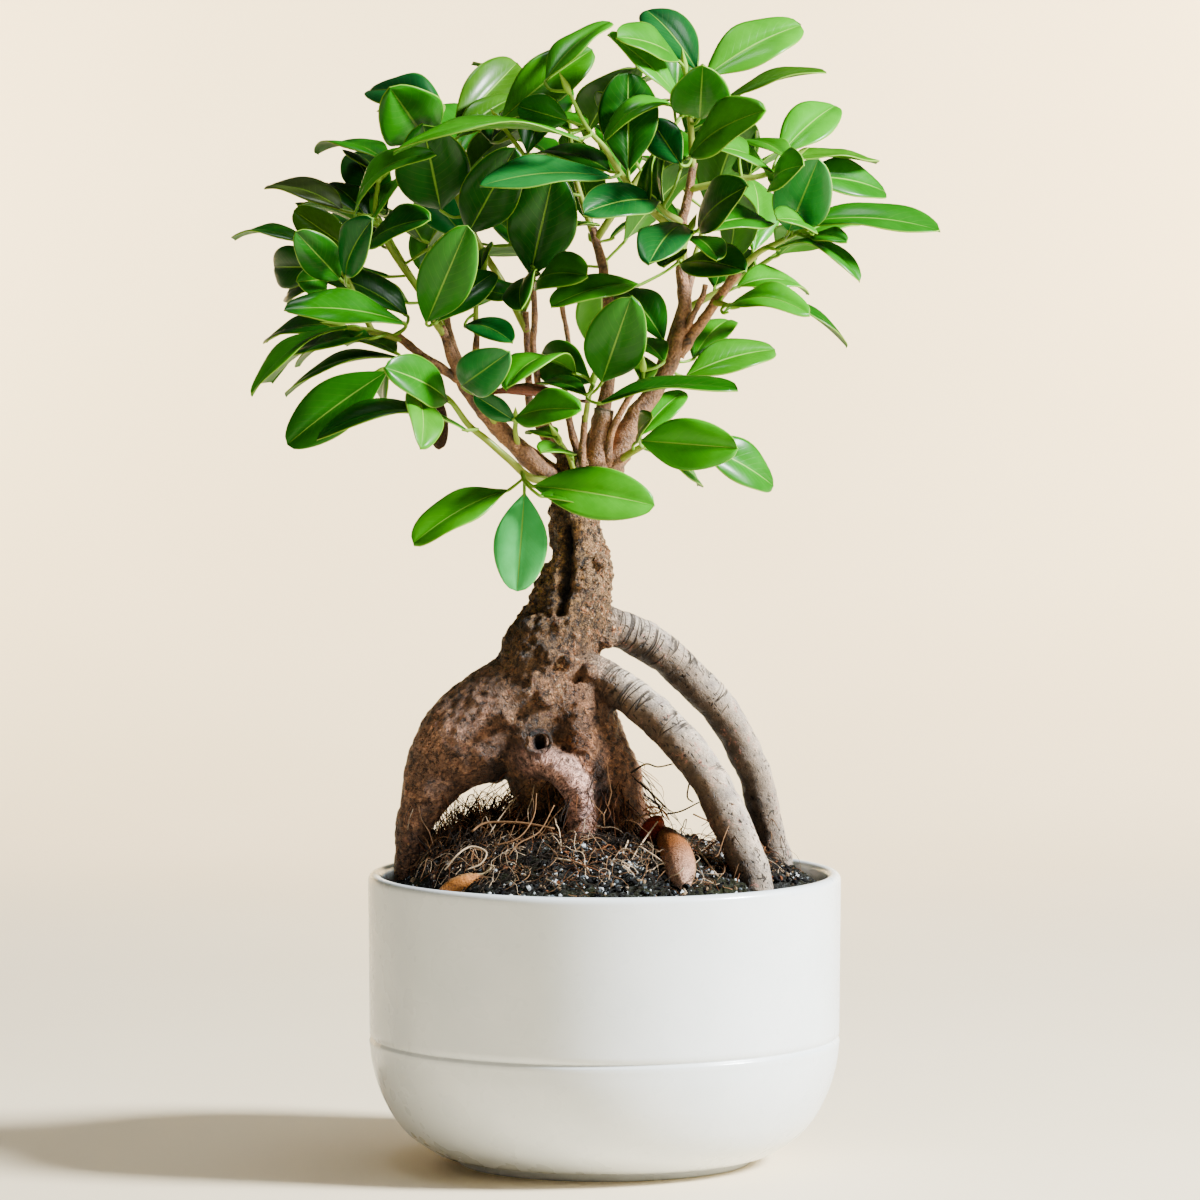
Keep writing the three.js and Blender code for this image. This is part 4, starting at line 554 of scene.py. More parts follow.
def leaf_look():
    """tint holds the leaf's colour with its painted light, shade and sheen, and its alpha is 1 above and 0
    beneath; place runs along and across.
    """
    n = Nodes("leaf")
    where = n.space()
    along, across = n.place()
    off = n.maths("ABSOLUTE", n.minus(across, 0.5))
    tint = n.stored("tint")
    above = tint["Alpha"]
    patch = n.noise(where, 0.10)
    colour = n.stain(tint["Color"], n.ramp(patch, (0.3, (0.70, 0.78, 0.6)), (0.7, (1.15, 1.10, 1.0))))
    colour = n.mix(above, n.mix(0.4, colour, (0.045, 0.15, 0.006)), colour)
    wave = n.maths("SINE", n.times(n.minus(along, n.times(off, 0.55)), 75.0))
    veins = n.times(n.rising(wave, 0.90, 1.0), n.ramp(off, (0.02, 1), (0.46, 0.25)))
    colour = n.mix(n.times(veins, 0.16), colour, n.mix(0.5, colour, (0.20, 0.42, 0.04)))
    rib_width = n.maths("MULTIPLY_ADD", along, -0.014, 0.026)
    rib = n.falling(n.maths("DIVIDE", off, rib_width), 0.55, 1.0)
    rib = n.times(rib, n.ramp(along, (0.90, 1), (1.0, 0.2)))
    colour = n.mix(n.times(rib, 0.62), colour, (0.26, 0.50, 0.05))
    # Painted highlight along the blade's edge.
    rim = n.rising(off, 0.480, 0.494)
    colour = n.mix(n.times(rim, 0.6), colour, (0.26, 0.46, 0.04))
    height = n.plus(n.times(n.noise(where, 0.35), 0.5), n.times(veins, -0.18))
    height = n.minus(height, n.times(rib, 0.8))
    rough = n.mix(above, (0.6, 0.6, 0.6), n.ramp(patch, (0.3, 0.32), (0.7, 0.46)))
    return n.finish(colour, rough, n.bump(height, 0.22, 0.7), Specular_IOR_Level=0.1, Coat_Weight=0.16,
                    Coat_Roughness=0.2)


def floor_look():
    n = Nodes("floor")
    colour = n.ramp(n.noise(n.space(), 0.004, 2), (0.3, (0.81, 0.68, 0.475)), (0.7, (0.85, 0.72, 0.515)))
    return n.finish(colour, 0.6)


GLAZE, DIRT, BARK, LEAF_SKIN = glaze_look(), soil_look(), bark_look(), leaf_look()
GRIT = tinted_look("grit", 0.9, 1.6, 0.3, Specular_IOR_Level=0.15)
FIBRE = tinted_look("fibre", 0.8, 0.8, 0.12, Specular_IOR_Level=0.15)
TWIG = tinted_look("twig", 0.55, 1.2, 0.8, 0.72)
STALK = tinted_look("stalk", 0.4, 0.5, 0.1, 0.2)
DRY = tinted_look("dry", 0.6, 1.4, 0.5, 0.75, Specular_IOR_Level=0.2)


# ---- the bowl ----

def lathe(profile, sides):
    """Points and faces turned from (radius, height) pairs; the ends lie on the axis."""
    turns = 2 * math.pi * np.arange(sides) / sides
    points = [(0, 0, profile[0][1])]
    for r, z in profile[1:-1]:
        points += [(r * math.cos(a), r * math.sin(a), z) for a in turns]
    points.append((0, 0, profile[-1][1]))
    rings = len(profile) - 2
    faces = [(0, 1 + (k + 1) % sides, 1 + k) for k in range(sides)]
    faces += ring_faces(rings, sides, 1)
    top = 1 + rings * sides
    faces += [(top, top - sides + k, top - sides + (k + 1) % sides) for k in range(sides)]
    return np.array(points, float), faces


def rounded(profile, steps):
    """A smooth curve through (radius, height) knots."""
    line = smooth_line([(np.array([r, 0.0, z]), 0.0) for r, z in profile], steps)
    return [(p[0], p[2]) for p, _ in line]


def make_pot():
    """Turned from its profile, from the middle of the foot outwards, up the wall and down inside."""
    groove, top, foot, rise = POT["groove"], POT["height"], POT["foot"], POT["foot_height"]
    rim = POT["wall"] / 2
    profile = [(0, 0), (foot - 20, 0), (foot - 4, 0), (foot - 0.5, 0), (foot, 0.5), (foot, rise - 0.3),
               (foot + 0.5, rise), (54.5, 3.0)]
    profile += rounded([(58, 4), (66, 9.4), (70.9, 14.8), (74.1, 20.2), (76.8, 26.5), (78.8, 34),
                        (79.55, groove - 3)], 5)
    profile += [(79.75, groove - 1.6), (79.55, groove - 0.9), (78.9, groove - 0.35), (78.8, groove),
                (79.2, groove + 0.4), (UPPER, groove + 1.0)]
    profile += [(UPPER + (POT["rim"] - UPPER) * t, groove + 1 + (top - rim - groove - 1) * t)
                for t in (0.03, 0.25, 0.5, 0.75, 0.97)]
    profile += [(POT["rim"] - rim + rim * math.cos(a), top - rim + rim * math.sin(a))
                for a in np.radians(np.arange(0, 181, 15))]
    inner = UPPER - POT["wall"]
    profile += rounded([(inner, 84), (inner, groove), (73, 28), (69, 18.5), (50, POT["floor"])], 2)
    skin = Skin()
    skin.add(*lathe([*profile, (0, POT["floor"])], sides=160))
    skin.piece("bowl", ["pot"], "glaze", [GLAZE])


# ---- the soil ----

def soil_top(x, y):
    inside = np.maximum(0, 1 - (x * x + y * y) / SOIL["edge"] ** 2)
    grain = np.sin(x * 0.31 + 1.3) * np.cos(y * 0.27) + 0.6 * np.sin(x * 0.7 + y * 0.53)
    swell = sum(h * np.exp(-((x - cx) ** 2 + (y - cy) ** 2) / (2 * w * w)) for cx, cy, h, w in BUMPS)
    swell = swell * np.minimum(1, inside * 4)
    return SOIL["edge_height"] + inside * SOIL["rise"] + swell + grain * SOIL["grain"]


def make_soil():
    wall = UPPER - POT["wall"] - GAP
    bottom, edge_height = POT["floor"] + GAP, SOIL["edge_height"]
    profile = [(0, bottom), (49, bottom), (68.5, 19), (72.6, 28.5), (wall, 43), (wall, SOIL["wall_height"])]
    profile += [(r, edge_height) for r in np.linspace(wall - 0.1, 0, 90)]
    points, faces = lathe(profile, sides=260)
    top = np.hypot(points[:, 0], points[:, 1]) < wall - 0.05
    top &= points[:, 2] > SOIL["wall_height"] + 1
    x, y = points[top, 0], points[top, 1]
    edge = clip01((np.hypot(x, y) - SOIL["edge"]) / (wall - SOIL["edge"]))
    height = soil_top(x, y) * (1 - edge ** 2) + (edge_height - 8) * edge ** 2
    rough = [noise.fractal(Vector((a * 0.33, b * 0.33, 0)), 0.8, 2.2, 4) for a, b in zip(x, y)]
    points[top, 2] = height + 1.5 * np.array(rough) - 0.4
    skin = Skin()
    skin.add(points, faces)
    skin.piece("root_ball", ["soil"], "soil", [DIRT])


def ball():
    """Points and faces of the regular solid with twenty faces, in a ball of radius 1."""
    gold = (1 + 5 ** 0.5) / 2
    pairs = [(a, b) for a in (-1, 1) for b in (-gold, gold)]
    corners = [(a, b, 0) for a, b in pairs] + [(0, a, b) for a, b in pairs] + [(b, 0, a) for a, b in pairs]
    corners = np.array(corners) / math.hypot(1, gold)
    faces = []
    for i, j, k in itertools.combinations(range(12), 3):
        sides = corners[[i, j, k]] - corners[[j, k, i]]
        if np.linalg.norm(sides, axis=1).max() < 1.1:
            outward = np.cross(sides[0], sides[2]).dot(corners[i]) < 0
            faces.append((i, j, k) if outward else (i, k, j))
    return corners, faces


# The grains' colours and how common each is.
GRAINS = [((0.003, 0.003, 0.004), 0.54), ((0.020, 0.015, 0.010), 0.18), ((0.10, 0.12, 0.14), 0.07),
          ((0.24, 0.16, 0.09), 0.07), ((0.62, 0.66, 0.68), 0.10), ((0.16, 0.055, 0.02), 0.04)]
GRAIN_COUNT = 5950
PALE_PATCH = {"count": 350, "x": 4, "y": -44}  # paler grains before the small front root


def make_grit(draw):
    """Grains of bark, pumice and soil lying on the root ball."""
    corners, faces = ball()
    common = [share for _, share in GRAINS]
    skin = Skin()
    for i in range(GRAIN_COUNT):
        r = (SOIL["edge"] + 5) * math.sqrt(draw.random())
        a = 2 * math.pi * draw.random()
        x, y = r * math.cos(a), r * math.sin(a)
        size = 0.30 + 0.75 * draw.random() ** 2.4
        in_patch = i >= GRAIN_COUNT - PALE_PATCH["count"]
        if in_patch:
            x, y = PALE_PATCH["x"] + 12 * draw.normal(), PALE_PATCH["y"] + 9 * draw.normal()
            size *= 0.8
            r = math.hypot(x, y)
            if r > SOIL["edge"]:
                continue
        shape = corners * size * (0.6 + 0.7 * draw.random((12, 1))) * (0.7 + 0.6 * draw.random(3))
        height = float(soil_top(x, y))
        if r >= SOIL["edge"]:
            height = SOIL["edge_height"] - (r - SOIL["edge"]) * 1.2
        kind = int(draw.choice(len(GRAINS), p=common))
        if in_patch:
            kind = int(draw.choice(3, p=(0.3, 0.3, 0.4))) * 2
        tint = np.array(GRAINS[kind][0]) * (0.6 + 0.8 * draw.random())
        skin.add(shape + [x, y, height + 0.3 * size - 0.3], faces, tint)
    skin.piece("grit", [], "soil", [GRIT], smooth=False)


PALE, TAN = (0.58, 0.42, 0.27), (0.23, 0.12, 0.055)
RUST, DARK = (0.17, 0.060, 0.020), (0.020, 0.013, 0.009)

# Single rootlets that stand out in the photograph: colour and knots of [x, z, y, radius].
ROOTLETS = [
    [PALE, [[-54, 99, -40, 0.3], [-50, 104, -41, 0.3], [-45, 107, -38, 0.32], [-40, 105, -40, 0.3],
        [-42, 101, -42, 0.28], [-47, 99, -43, 0.25]]],
    [TAN, [[-45, 112, -26, 0.4], [-40, 115, -24, 0.4], [-28, 115, -26, 0.4], [-17, 113, -30, 0.35]]],
    [PALE, [[-17, 103, -44, 0.34], [-8, 101, -48, 0.36], [-2, 96, -54, 0.36], [5, 93, -60, 0.32],
        [8, 93, -62, 0.3]]],
    [TAN, [[-33, 103, -39, 0.22], [-29, 108, -37, 0.24], [-22, 112, -33, 0.22], [-17, 121, -28, 0.2]]],
    [TAN, [[-38, 107, -36, 0.2], [-29, 110, -36, 0.22], [-24, 117, -31, 0.2], [-23, 125, -27, 0.16]]],
    [DARK, [[9, 132, -18, 0.4], [14, 135, -20, 0.35], [18, 134, -22, 0.3], [23, 135, -23, 0.3]]],
    [DARK, [[12, 129, -18, 0.3], [18, 123, -22, 0.35], [21, 120, -24, 0.3]]],
    [DARK, [[21, 118, -24, 0.3], [26, 119, -24, 0.3], [32, 122, -22, 0.25]]],
    [DARK, [[29, 130, -22, 0.3], [28, 124, -24, 0.3], [30, 122, -24, 0.25]]],
    [TAN, [[30, 118, -20, 0.3], [38, 114, -18, 0.3], [38, 111, -18, 0.25]]],
    [TAN, [[9, 112, -24, 0.3], [11, 116, -25, 0.32], [15, 118, -25, 0.35], [18.5, 118.5, -25, 0.3],
        [20, 121, -24, 0.25]]],
    [RUST, [[13, 119, -24, 0.28], [16, 120.5, -24, 0.3], [20, 119, -24, 0.3], [22, 116, -24, 0.2]]],
    [DARK, [[10, 130, -20, 0.25], [15, 126, -22, 0.3], [18, 121, -24, 0.3], [20, 117, -24, 0.25]]],
    [PALE, [[31, 107, -30, 0.34], [36, 100, -38, 0.34], [42, 92, -50, 0.3]]],
    [PALE, [[12, 107, -42, 0.26], [18, 103, -45, 0.3], [22, 99, -50, 0.3], [28, 91, -60, 0.26]]],
    [PALE, [[20, 103, -40, 0.3], [14, 97, -48, 0.3], [5, 92.5, -57, 0.3], [-10, 92, -60, 0.28],
        [-20, 96, -56, 0.25]]],
    [PALE, [[8, 109, -32, 0.3], [6, 103, -42, 0.3], [8, 98, -50, 0.3], [6, 93, -57, 0.28]]],
    [PALE, [[18, 115.5, -27, 0.26], [14, 110, -31, 0.3], [10, 104, -40, 0.3], [8, 99, -48, 0.28]]],
]
TANGLE = {"left": 650, "front": 350, "all_over": 500, "tufts": 420}  # how many fibres lie or stand where
# Hairs on the thick roots: how many, and between which two knots of the limb.
HAIRS = [("rightLobe", 420, 1.4, 4.2), ("leftLobe", 200, 2, 4), ("leftRoot", 90, 4.6, 8),
         ("frontRightRoot", 40, 5.5, 7.5), ("backRightRoot", 30, 7.5, 9.5), ("frontRoot", 40, 3.5, 6.5),
         ("backRoot", 120, 1, 4)]


def fibre_colour(draw, weights):
    return np.array((PALE, TAN, RUST, DARK)[int(draw.choice(4, p=weights))])


def fibre(skin, knots, colour, sides, steps):
    """A fine root along (place, radius) knots."""
    skin.add(*tube(smooth_line(knots, steps), sides), colour)


def add_tangle(skin, draw):
    """Fibres that lie on the soil, heaped up at the left."""
    for i in range(TANGLE["left"] + TANGLE["front"] + TANGLE["all_over"]):
        if i < TANGLE["left"]:
            x, y = -44 + 16 * draw.normal(), -14 + 24 * draw.normal()
        elif i < TANGLE["left"] + TANGLE["front"]:
            x, y = 6 + 24 * draw.normal(), -26 + 16 * draw.normal()
        else:
            r, a = 66 * math.sqrt(draw.random()), 2 * math.pi * draw.random()
            x, y = r * math.cos(a), r * math.sin(a)
        heading = 2 * math.pi * draw.random()
        length = 8 + 20 * draw.random() ** 1.5
        rise = min(9.0, 0.6 + draw.exponential(2.6 if x < -28 else 1.6))
        thick = 0.10 + 0.20 * draw.random() ** 3
        bend = 0.30 * draw.normal()
        knots = []
        for t in np.linspace(0, 1, 9):
            if math.hypot(x, y) > SOIL["edge"] - 1:
                break
            up = rise * math.sin(math.pi * t) ** 0.7 + 0.3 * draw.normal()
            knots.append((np.array([x, y, float(soil_top(x, y)) + up - 0.2]), thick * (1 - 0.4 * t)))
            heading += bend + 0.45 * draw.normal()
            x += length / 8 * math.cos(heading)
            y += length / 8 * math.sin(heading)
        if len(knots) > 3:
            colour = fibre_colour(draw, [0.13, 0.23, 0.09, 0.55])
            fibre(skin, knots, colour * (0.6 + 0.7 * draw.random()), 3, 2)


def add_tufts(skin, draw):
    """Short fibres that stand up from the soil at the left."""
    for _ in range(TANGLE["tufts"]):
        x, y = -60 + 42 * draw.random(), -16 + 34 * draw.random()
        foot = np.array([x, y, float(soil_top(x, y)) - 0.5])
        tall = 3 + 9 * draw.random() ** 1.5
        lean = np.array([0.45 * draw.normal(), 0.4 * draw.normal(), 1.0])
        knots = [(foot, 0.17), (foot + lean * tall * 0.5 + 0.7 * draw.normal(size=3), 0.15),
                 (foot + lean * tall + 1.2 * draw.normal(size=3), 0.09)]
        fibre(skin, knots, fibre_colour(draw, [0.04, 0.18, 0.18, 0.60]), 3, 3)


def add_hairs(skin, draw):
    """Fine roots that hang from the thick ones."""
    for limb, count, low, high in HAIRS:
        line = placed(CAUDEX[limb])
        for _ in range(count):
            k = low + (high - low) * draw.random()
            n = min(int(k), len(line) - 2)
            centre = line[n][0] + (line[n + 1][0] - line[n][0]) * (k - n)
            r = line[n][1] + (line[n + 1][1] - line[n][1]) * (k - n)
            a = 2 * math.pi * draw.random()
            out = np.array([math.cos(a), math.sin(a), -0.15])
            start = centre + out * r * 0.94
            length = 4 + 13 * draw.random() ** 1.6
            way = unit(out * 0.6 + np.array([0.5 * draw.normal(), 0.5 * draw.normal(), -1.1]))
            knots = [(start, 0.2), (start + out * length * 0.2 + way * length * 0.4, 0.17),
                     (start + out * length * 0.3 + way * length * 0.75 + 0.8 * draw.normal(size=3), 0.14),
                     (start + out * length * 0.3 + way * length, 0.09)]
            knots = [(p, w) for p, w in knots if math.hypot(p[0], p[1]) < SOIL["edge"]]
            if len(knots) > 2:
                colour = fibre_colour(draw, [0.05, 0.20, 0.25, 0.50])
                fibre(skin, knots, colour * (0.5 + 0.7 * draw.random()), 3, 2)


def make_rootlets(draw):
    skin = Skin()
    for colour, knots in ROOTLETS:
        fibre(skin, placed(knots), colour, 5, 4)
    add_tangle(skin, draw)
    add_tufts(skin, draw)
    add_hairs(skin, draw)
    skin.piece("rootlets", [], "bark", [FIBRE])


# ---- the trunk ----

# How each limb's bark looks: its colour (linear), and its roughness from 0 to 1.
BARKS = {
    "neck": ((0.230, 0.130, 0.050), 1.0), "leftRoot": ((0.320, 0.172, 0.108), 0.38),
    "rightLobe": ((0.260, 0.120, 0.060), 0.6), "leftLobe": ((0.120, 0.062, 0.022), 0.55),
    "frontRoot": ((0.740, 0.420, 0.360), 0.34), "frontRightRoot": ((0.120, 0.080, 0.052), 0.1),
    "backRightRoot": ((0.130, 0.092, 0.066), 0.08), "backRoot": ((0.070, 0.036, 0.020), 0.4),
}
# Painted highlight on the upper right, the side that faces the key light: which limbs, and how much.
PAINTED_HIGHLIGHT = {"frontRightRoot": 1.0, "backRightRoot": 0.75, "frontRoot": 0.22, "neck": 0.26,
            "rightLobe": 0.08}
# The painted highlight's pale colour, and the way towards the key light.
HIGHLIGHT_COLOUR, KEY_LIGHT_WAY = np.array([0.56, 0.475, 0.40]), np.array([0.58, -0.30, 0.76])
# Lines of [x, z, y, reach]: where orange crumbs cling, deep places darkened with painted shade, the cleft
# and the hollow.
CRUST = [
    [[3, 238, -2, 5], [1, 210, -5, 6], [2, 198, -6, 7], [1, 186, -8, 7], [4, 178, -8, 7]],
    [[-6, 171, -17, 4], [-12, 170, -18, 4], [-20, 157, -24, 4]],
    [[4, 150, -10, 5], [9, 138, -10, 5], [13, 126, -12, 5]],
]
SHADED = [
    [[-38, 147, -16, 2], [-37, 139, -13, 4], [-35, 131, -8, 5], [-34, 124, -4, 5]],
    [[-14, 128, -16, 3], [-15, 120, -16, 4.5], [-15, 112, -15, 5]],
    [[-2, 135, -21, 2], [-1, 126, -21, 3], [0, 116, -20, 4]],
]
CLEFT = [[-12.6, 215, -8, 1.6], [-13, 205, -10, 2.5], [-13.8, 196, -13, 3.0], [-15, 187, -15, 2.2]]
HOLLOW = [[-22, 142.5, -28, 2.5], [-22, 142.5, -18, 2.5]]
KNOBS = [[-26, 182, 2.6], [-20, 157, 3.4], [1, 177, 3.4], [-1, 203, 3], [-5, 166, 3.2], [-12, 170, 3],
         [-19, 172, 3.2], [-33, 150, 3]]  # x, z, radius


def beside(points, start, end):
    """For each point beside a stretch of a limb: the share of the way along it, the offset from its
    middle, and the limb's radius there."""
    (a, radius), (b, next_radius) = start, end
    t = clip01((points - a) @ (b - a) / (b - a).dot(b - a))
    return t, points - (a + t[:, None] * (b - a)), radius + t * (next_radius - radius)


def near_line(points, knots):
    """How far each point is from a line of knots, as a share of its radius."""
    best = np.full(len(points), 9.0)
    line = placed(knots)
    for start, end in zip(line, line[1:]):
        _, off, radius = beside(points, start, end)
        best = np.minimum(best, np.linalg.norm(off, axis=1) / radius)
    return best


def nearness(points, lines, reach):
    """From 1 at any of the lines to 0 at `reach` times its radius."""
    return np.max([clip01(reach - near_line(points, knots)) for knots in lines], axis=0)


def nearest_limb(points, lines):
    """For each point: how near each limb is, and the place along and round the nearest one."""
    shares, places, best = [], np.zeros((len(points), 2)), np.full(len(points), 1e9)
    for line in lines:
        near = np.full(len(points), 1e9)
        travelled = 0.0
        for start, end in zip(line, line[1:]):
            t, off, radius = beside(points, start, end)
            length = np.linalg.norm(end[0] - start[0])
            along = (end[0] - start[0]) / length
            first = unit(np.cross(along, (0.31, 0.83, 0.46)))
            turn = np.arctan2(off @ np.cross(along, first), off @ first) * radius
            depth = np.linalg.norm(off, axis=1) / radius
            near = np.minimum(near, depth)
            use = depth < best
            best[use] = depth[use]
            places[use] = np.column_stack([travelled + t * length, turn])[use]
            travelled += length
        shares.append(np.exp(-6 * near))
    shares = np.array(shares).T
    return shares / shares.sum(axis=1, keepdims=True), places


def fused(skin, name, voxel, smooth):
    """The pieces of a skin fused into one by a voxel remesh, as an object without a material."""
    mesh = skin.mesh(name)
    obj = bpy.data.objects.new(name, mesh)
    bpy.context.scene.collection.objects.link(obj)
    remesh = obj.modifiers.new("fuse", "REMESH")
    remesh.mode, remesh.voxel_size = "VOXEL", voxel * MM
    soften = obj.modifiers.new("soften", "SMOOTH")
    soften.factor, soften.iterations = 0.5, smooth
    made = bpy.data.meshes.new_from_object(obj.evaluated_get(bpy.context.evaluated_depsgraph_get()))
    obj.modifiers.clear()
    obj.data = made
    bpy.data.meshes.remove(mesh)
    made.name = name
    return obj


def read_vectors(mesh, key):
    values = np.empty(3 * len(mesh.vertices), np.float32)
    mesh.vertices.foreach_get(key, values)
    return values.reshape(-1, 3).astype(float)


def bark_depth(x, z):
    """How far forward the bark reaches behind a spot of the picture."""
    depths = np.arange(-40, 20, 0.5)
    spots = np.array([seen(x, z, y) for y in depths])
    near = np.min([near_line(spots, knots) for knots in CAUDEX.values()], axis=0)
    inside = np.flatnonzero(near < 1)
    return depths[inside[0] if len(inside) else np.argmin(near)]


def limb_skin():
    """The thick limbs, the knobs on them and the ringed hollow, as one bundle of closed shapes."""
    skin = Skin()
    lines = [smooth_line(placed(knots), 5) for knots in CAUDEX.values()]
    for line in lines:
        skin.add(*tube(line, 28, grow=0.2))
    for x, z, r in KNOBS:
        y = bark_depth(x, z) - 0.5 * r
        stations = ((1, 0.5), (0.4, 1), (-0.3, 0.8), (-0.8, 0.3))
        skin.add(*tube([(seen(x, z, y + back * r), r * share) for back, share in stations], 10))
    ring = [(seen(-22 + 4.1 * math.cos(a), 142.5 + 2.9 * math.sin(a + 0.3), -24.5), 1.6)
            for a in np.radians(range(0, 361, 30))]
    skin.add(*tube(ring, 8))
    return skin, lines


def make_caudex():
    skin, lines = limb_skin()
    obj = fused(skin, "caudex", voxel=0.85, smooth=9)
    points, normals = read_vectors(obj.data, "co") / MM, read_vectors(obj.data, "normal")
    shares, places = nearest_limb(points, lines)
    neck = shares[:, :1]
    colour = shares @ np.array([BARKS[name][0] for name in CAUDEX])
    rough = shares @ np.array([BARKS[name][1] for name in CAUDEX])
    colour = colour * (1 - 0.62 * neck * clip01((198 - points[:, 2:]) / 20))
    low = clip01((132 - points[:, 2:]) / 22)
    lump, grain = fractal(points, 0.085), fractal(points, 0.42)
    lift = rough ** 1.6 * (1.5 * lump + 1.2 * grain) + (1 - rough) * (0.8 * lump + 0.12 * grain)
    cleft, hollow = nearness(points, [CLEFT], 1.25), nearness(points, [HOLLOW], 1.2)
    lift -= 4.5 * cleft ** 0.7 + 3.5 * hollow ** 0.8
    points += normals * np.clip(lift, -5, 1.9)[:, None]
    # Painted highlight: how much each point faces the key light, less so low on the neck.
    facing = clip01(normals @ KEY_LIGHT_WAY + 0.15 * lump) ** 2.0
    highlight_share = (shares @ np.array([PAINTED_HIGHLIGHT.get(name, 0) for name in CAUDEX]) * facing)[:, None]
    highlight_share = highlight_share * (1 - neck * clip01((196 - points[:, 2:]) / 16))
    # Painted shade on the undersides.
    underside_shade = clip01(-0.9 * normals[:, 2:] - 0.2 * normals[:, :1] + 0.1)
    colour = colour * np.clip(1 + 0.35 * lump + 0.30 * grain, 0.4, 1.7)[:, None]
    colour = colour * (1 - 0.72 * underside_shade) * (1 - 0.2 * low)
    # The painted highlight laid on.
    colour = colour * (1 - highlight_share) + HIGHLIGHT_COLOUR * highlight_share
    # Painted shade in the deep places between the limbs.
    colour = colour * (1 - 0.8 * nearness(points, SHADED, 1.5))[:, None]
    # Painted shade, almost black, in the carved cleft and hollow.
    dark = np.maximum(cleft, hollow)
    colour = colour * (1 - 0.96 * clip01(dark * 1.8))[:, None]
    crust = nearness(points, CRUST, 1.6) + 0.12 * rough - 0.5 * (1 - rough) - 3 * dark
    obj.data.vertices.foreach_set("co", (points * MM).astype(np.float32).ravel())
    crumbs = obj.data.attributes.new("crumbs", "FLOAT", "POINT")
    crumbs.data.foreach_set("value", crust.astype(np.float32))
    paint(obj.data, np.column_stack([clip01(colour), rough]), places)
    dress(obj, ["trunk"], "bark", [BARK])


WOODY = ("right", "left", "stump", "backRight", "backLeft", "backUp")
CUT = ("stump", "stubA", "stubB", "leftArm")
CUT_COLOUR = np.array([0.34, 0.24, 0.15])


def make_branches():
    """The woody branches: knobbly, tan-brown, paler where they were cut."""
    skin = Skin()
    for name, knots in BRANCHES.items():
        line = smooth_line(placed(knots), 6)
        base = np.array((0.36, 0.165, 0.070) if name in WOODY else (0.37, 0.165, 0.062))
        points, faces = tube(line, 12)
        ring = np.repeat(np.arange(len(line)), 12)
        centres = np.array([p for p, _ in line])[ring]
        lump = fractal(points, 0.30)
        knot = 1 + 0.10 * np.maximum(0, np.sin(ring * 1.05 + len(name))) ** 6
        points = centres + (points - centres) * (knot + 0.20 * lump)[:, None]
        colour = base * (1 + 0.9 * lump + 0.5 * fractal(points, 1.1, 2))[:, None]
        if name in CUT:
            end = clip01((ring - ring.max() + 1.5) * 0.6)[:, None]
            colour = colour * (1 - end) + CUT_COLOUR * end
        skin.add(points, faces, np.clip(colour, 0.02, 1))
    skin.piece("branches", ["trunk"], "bark", [TWIG])


# ---- leaves ----

def outline(t):
    """How wide a blade is at a share of its length, as a share of its widest place."""
    t = clip01(t)
    return np.sin(np.pi * t ** 1.12) ** (0.85 - 0.37 * t)


def midrib(leaf, t):
    length = np.linalg.norm(leaf["tip"] - leaf["base"])
    t = np.asarray(t)[..., None]
    rise = leaf["up"] * leaf["arch"] * length * 4 * t * (1 - t)
    return leaf["base"] + (leaf["tip"] - leaf["base"]) * t + rise


def stalk_foot(leaf, stem):
    """Where on the stem the leaf's stalk starts."""
    wanted = leaf["base"] - 6 * unit(leaf["tip"] - leaf["base"])
    best = None
    for i in range(len(stem) - 1):
        a, b = stem[i][0], stem[i + 1][0]
        if i == 0:
            a = a + (b - a) * BARE_START
        t = min(1, max(0, (wanted - a).dot(b - a) / (b - a).dot(b - a)))
        spot = a + (b - a) * t
        if best is None or np.linalg.norm(spot - wanted) < np.linalg.norm(best - wanted):
            best = spot
    return best


BLADE_STATIONS = (0.2, 0.54, 0.88)


def leaf_shape(leaf, stem, stalked=True):
    """The plain shape of a leaf that the solids have, made larger all over."""
    thick, spread = LEAF["thick"] + CLEAR["blade"], CLEAR["tube"]
    along = unit(leaf["tip"] - leaf["base"])
    side = unit(np.cross(leaf["up"], along))
    foot = stalk_foot(leaf, stem)
    stalk = unit(leaf["base"] - foot)
    stalk_side = unit(side - stalk * side.dot(stalk))
    stalk_up = np.cross(stalk, stalk_side)
    points = []

    def ring(centre, across, upward, half, lift, rise):
        edge, across, upward = centre + upward * rise, across * half, upward * lift
        points.extend([edge - across, centre + upward, edge + across, centre - upward])

    r = LEAF["petiole"] + spread
    if stalked:
        ring(foot, stalk_side, stalk_up, r, r, 0)
    ring(leaf["base"], unit(side + stalk_side), unit(leaf["up"] + stalk_up), r, r, 0)
    for t in BLADE_STATIONS:
        half = leaf["width"] / 2 * float(outline(t)) + spread
        ring(midrib(leaf, t), side, leaf["up"], half, thick / 2, LEAF["fold"] * half)
    end = len(points) - 4
    points.append(leaf["tip"] + along * spread)
    faces = [(0, 1, 2), (0, 2, 3)]
    for k in range(4):
        following = (k + 1) % 4
        for i in range(0, end, 4):
            faces += [(i + following, i + k, i + 4 + k), (i + following, i + 4 + k, i + 4 + following)]
        faces.append((end + following, end + k, end + 4))
    return np.array(points), faces


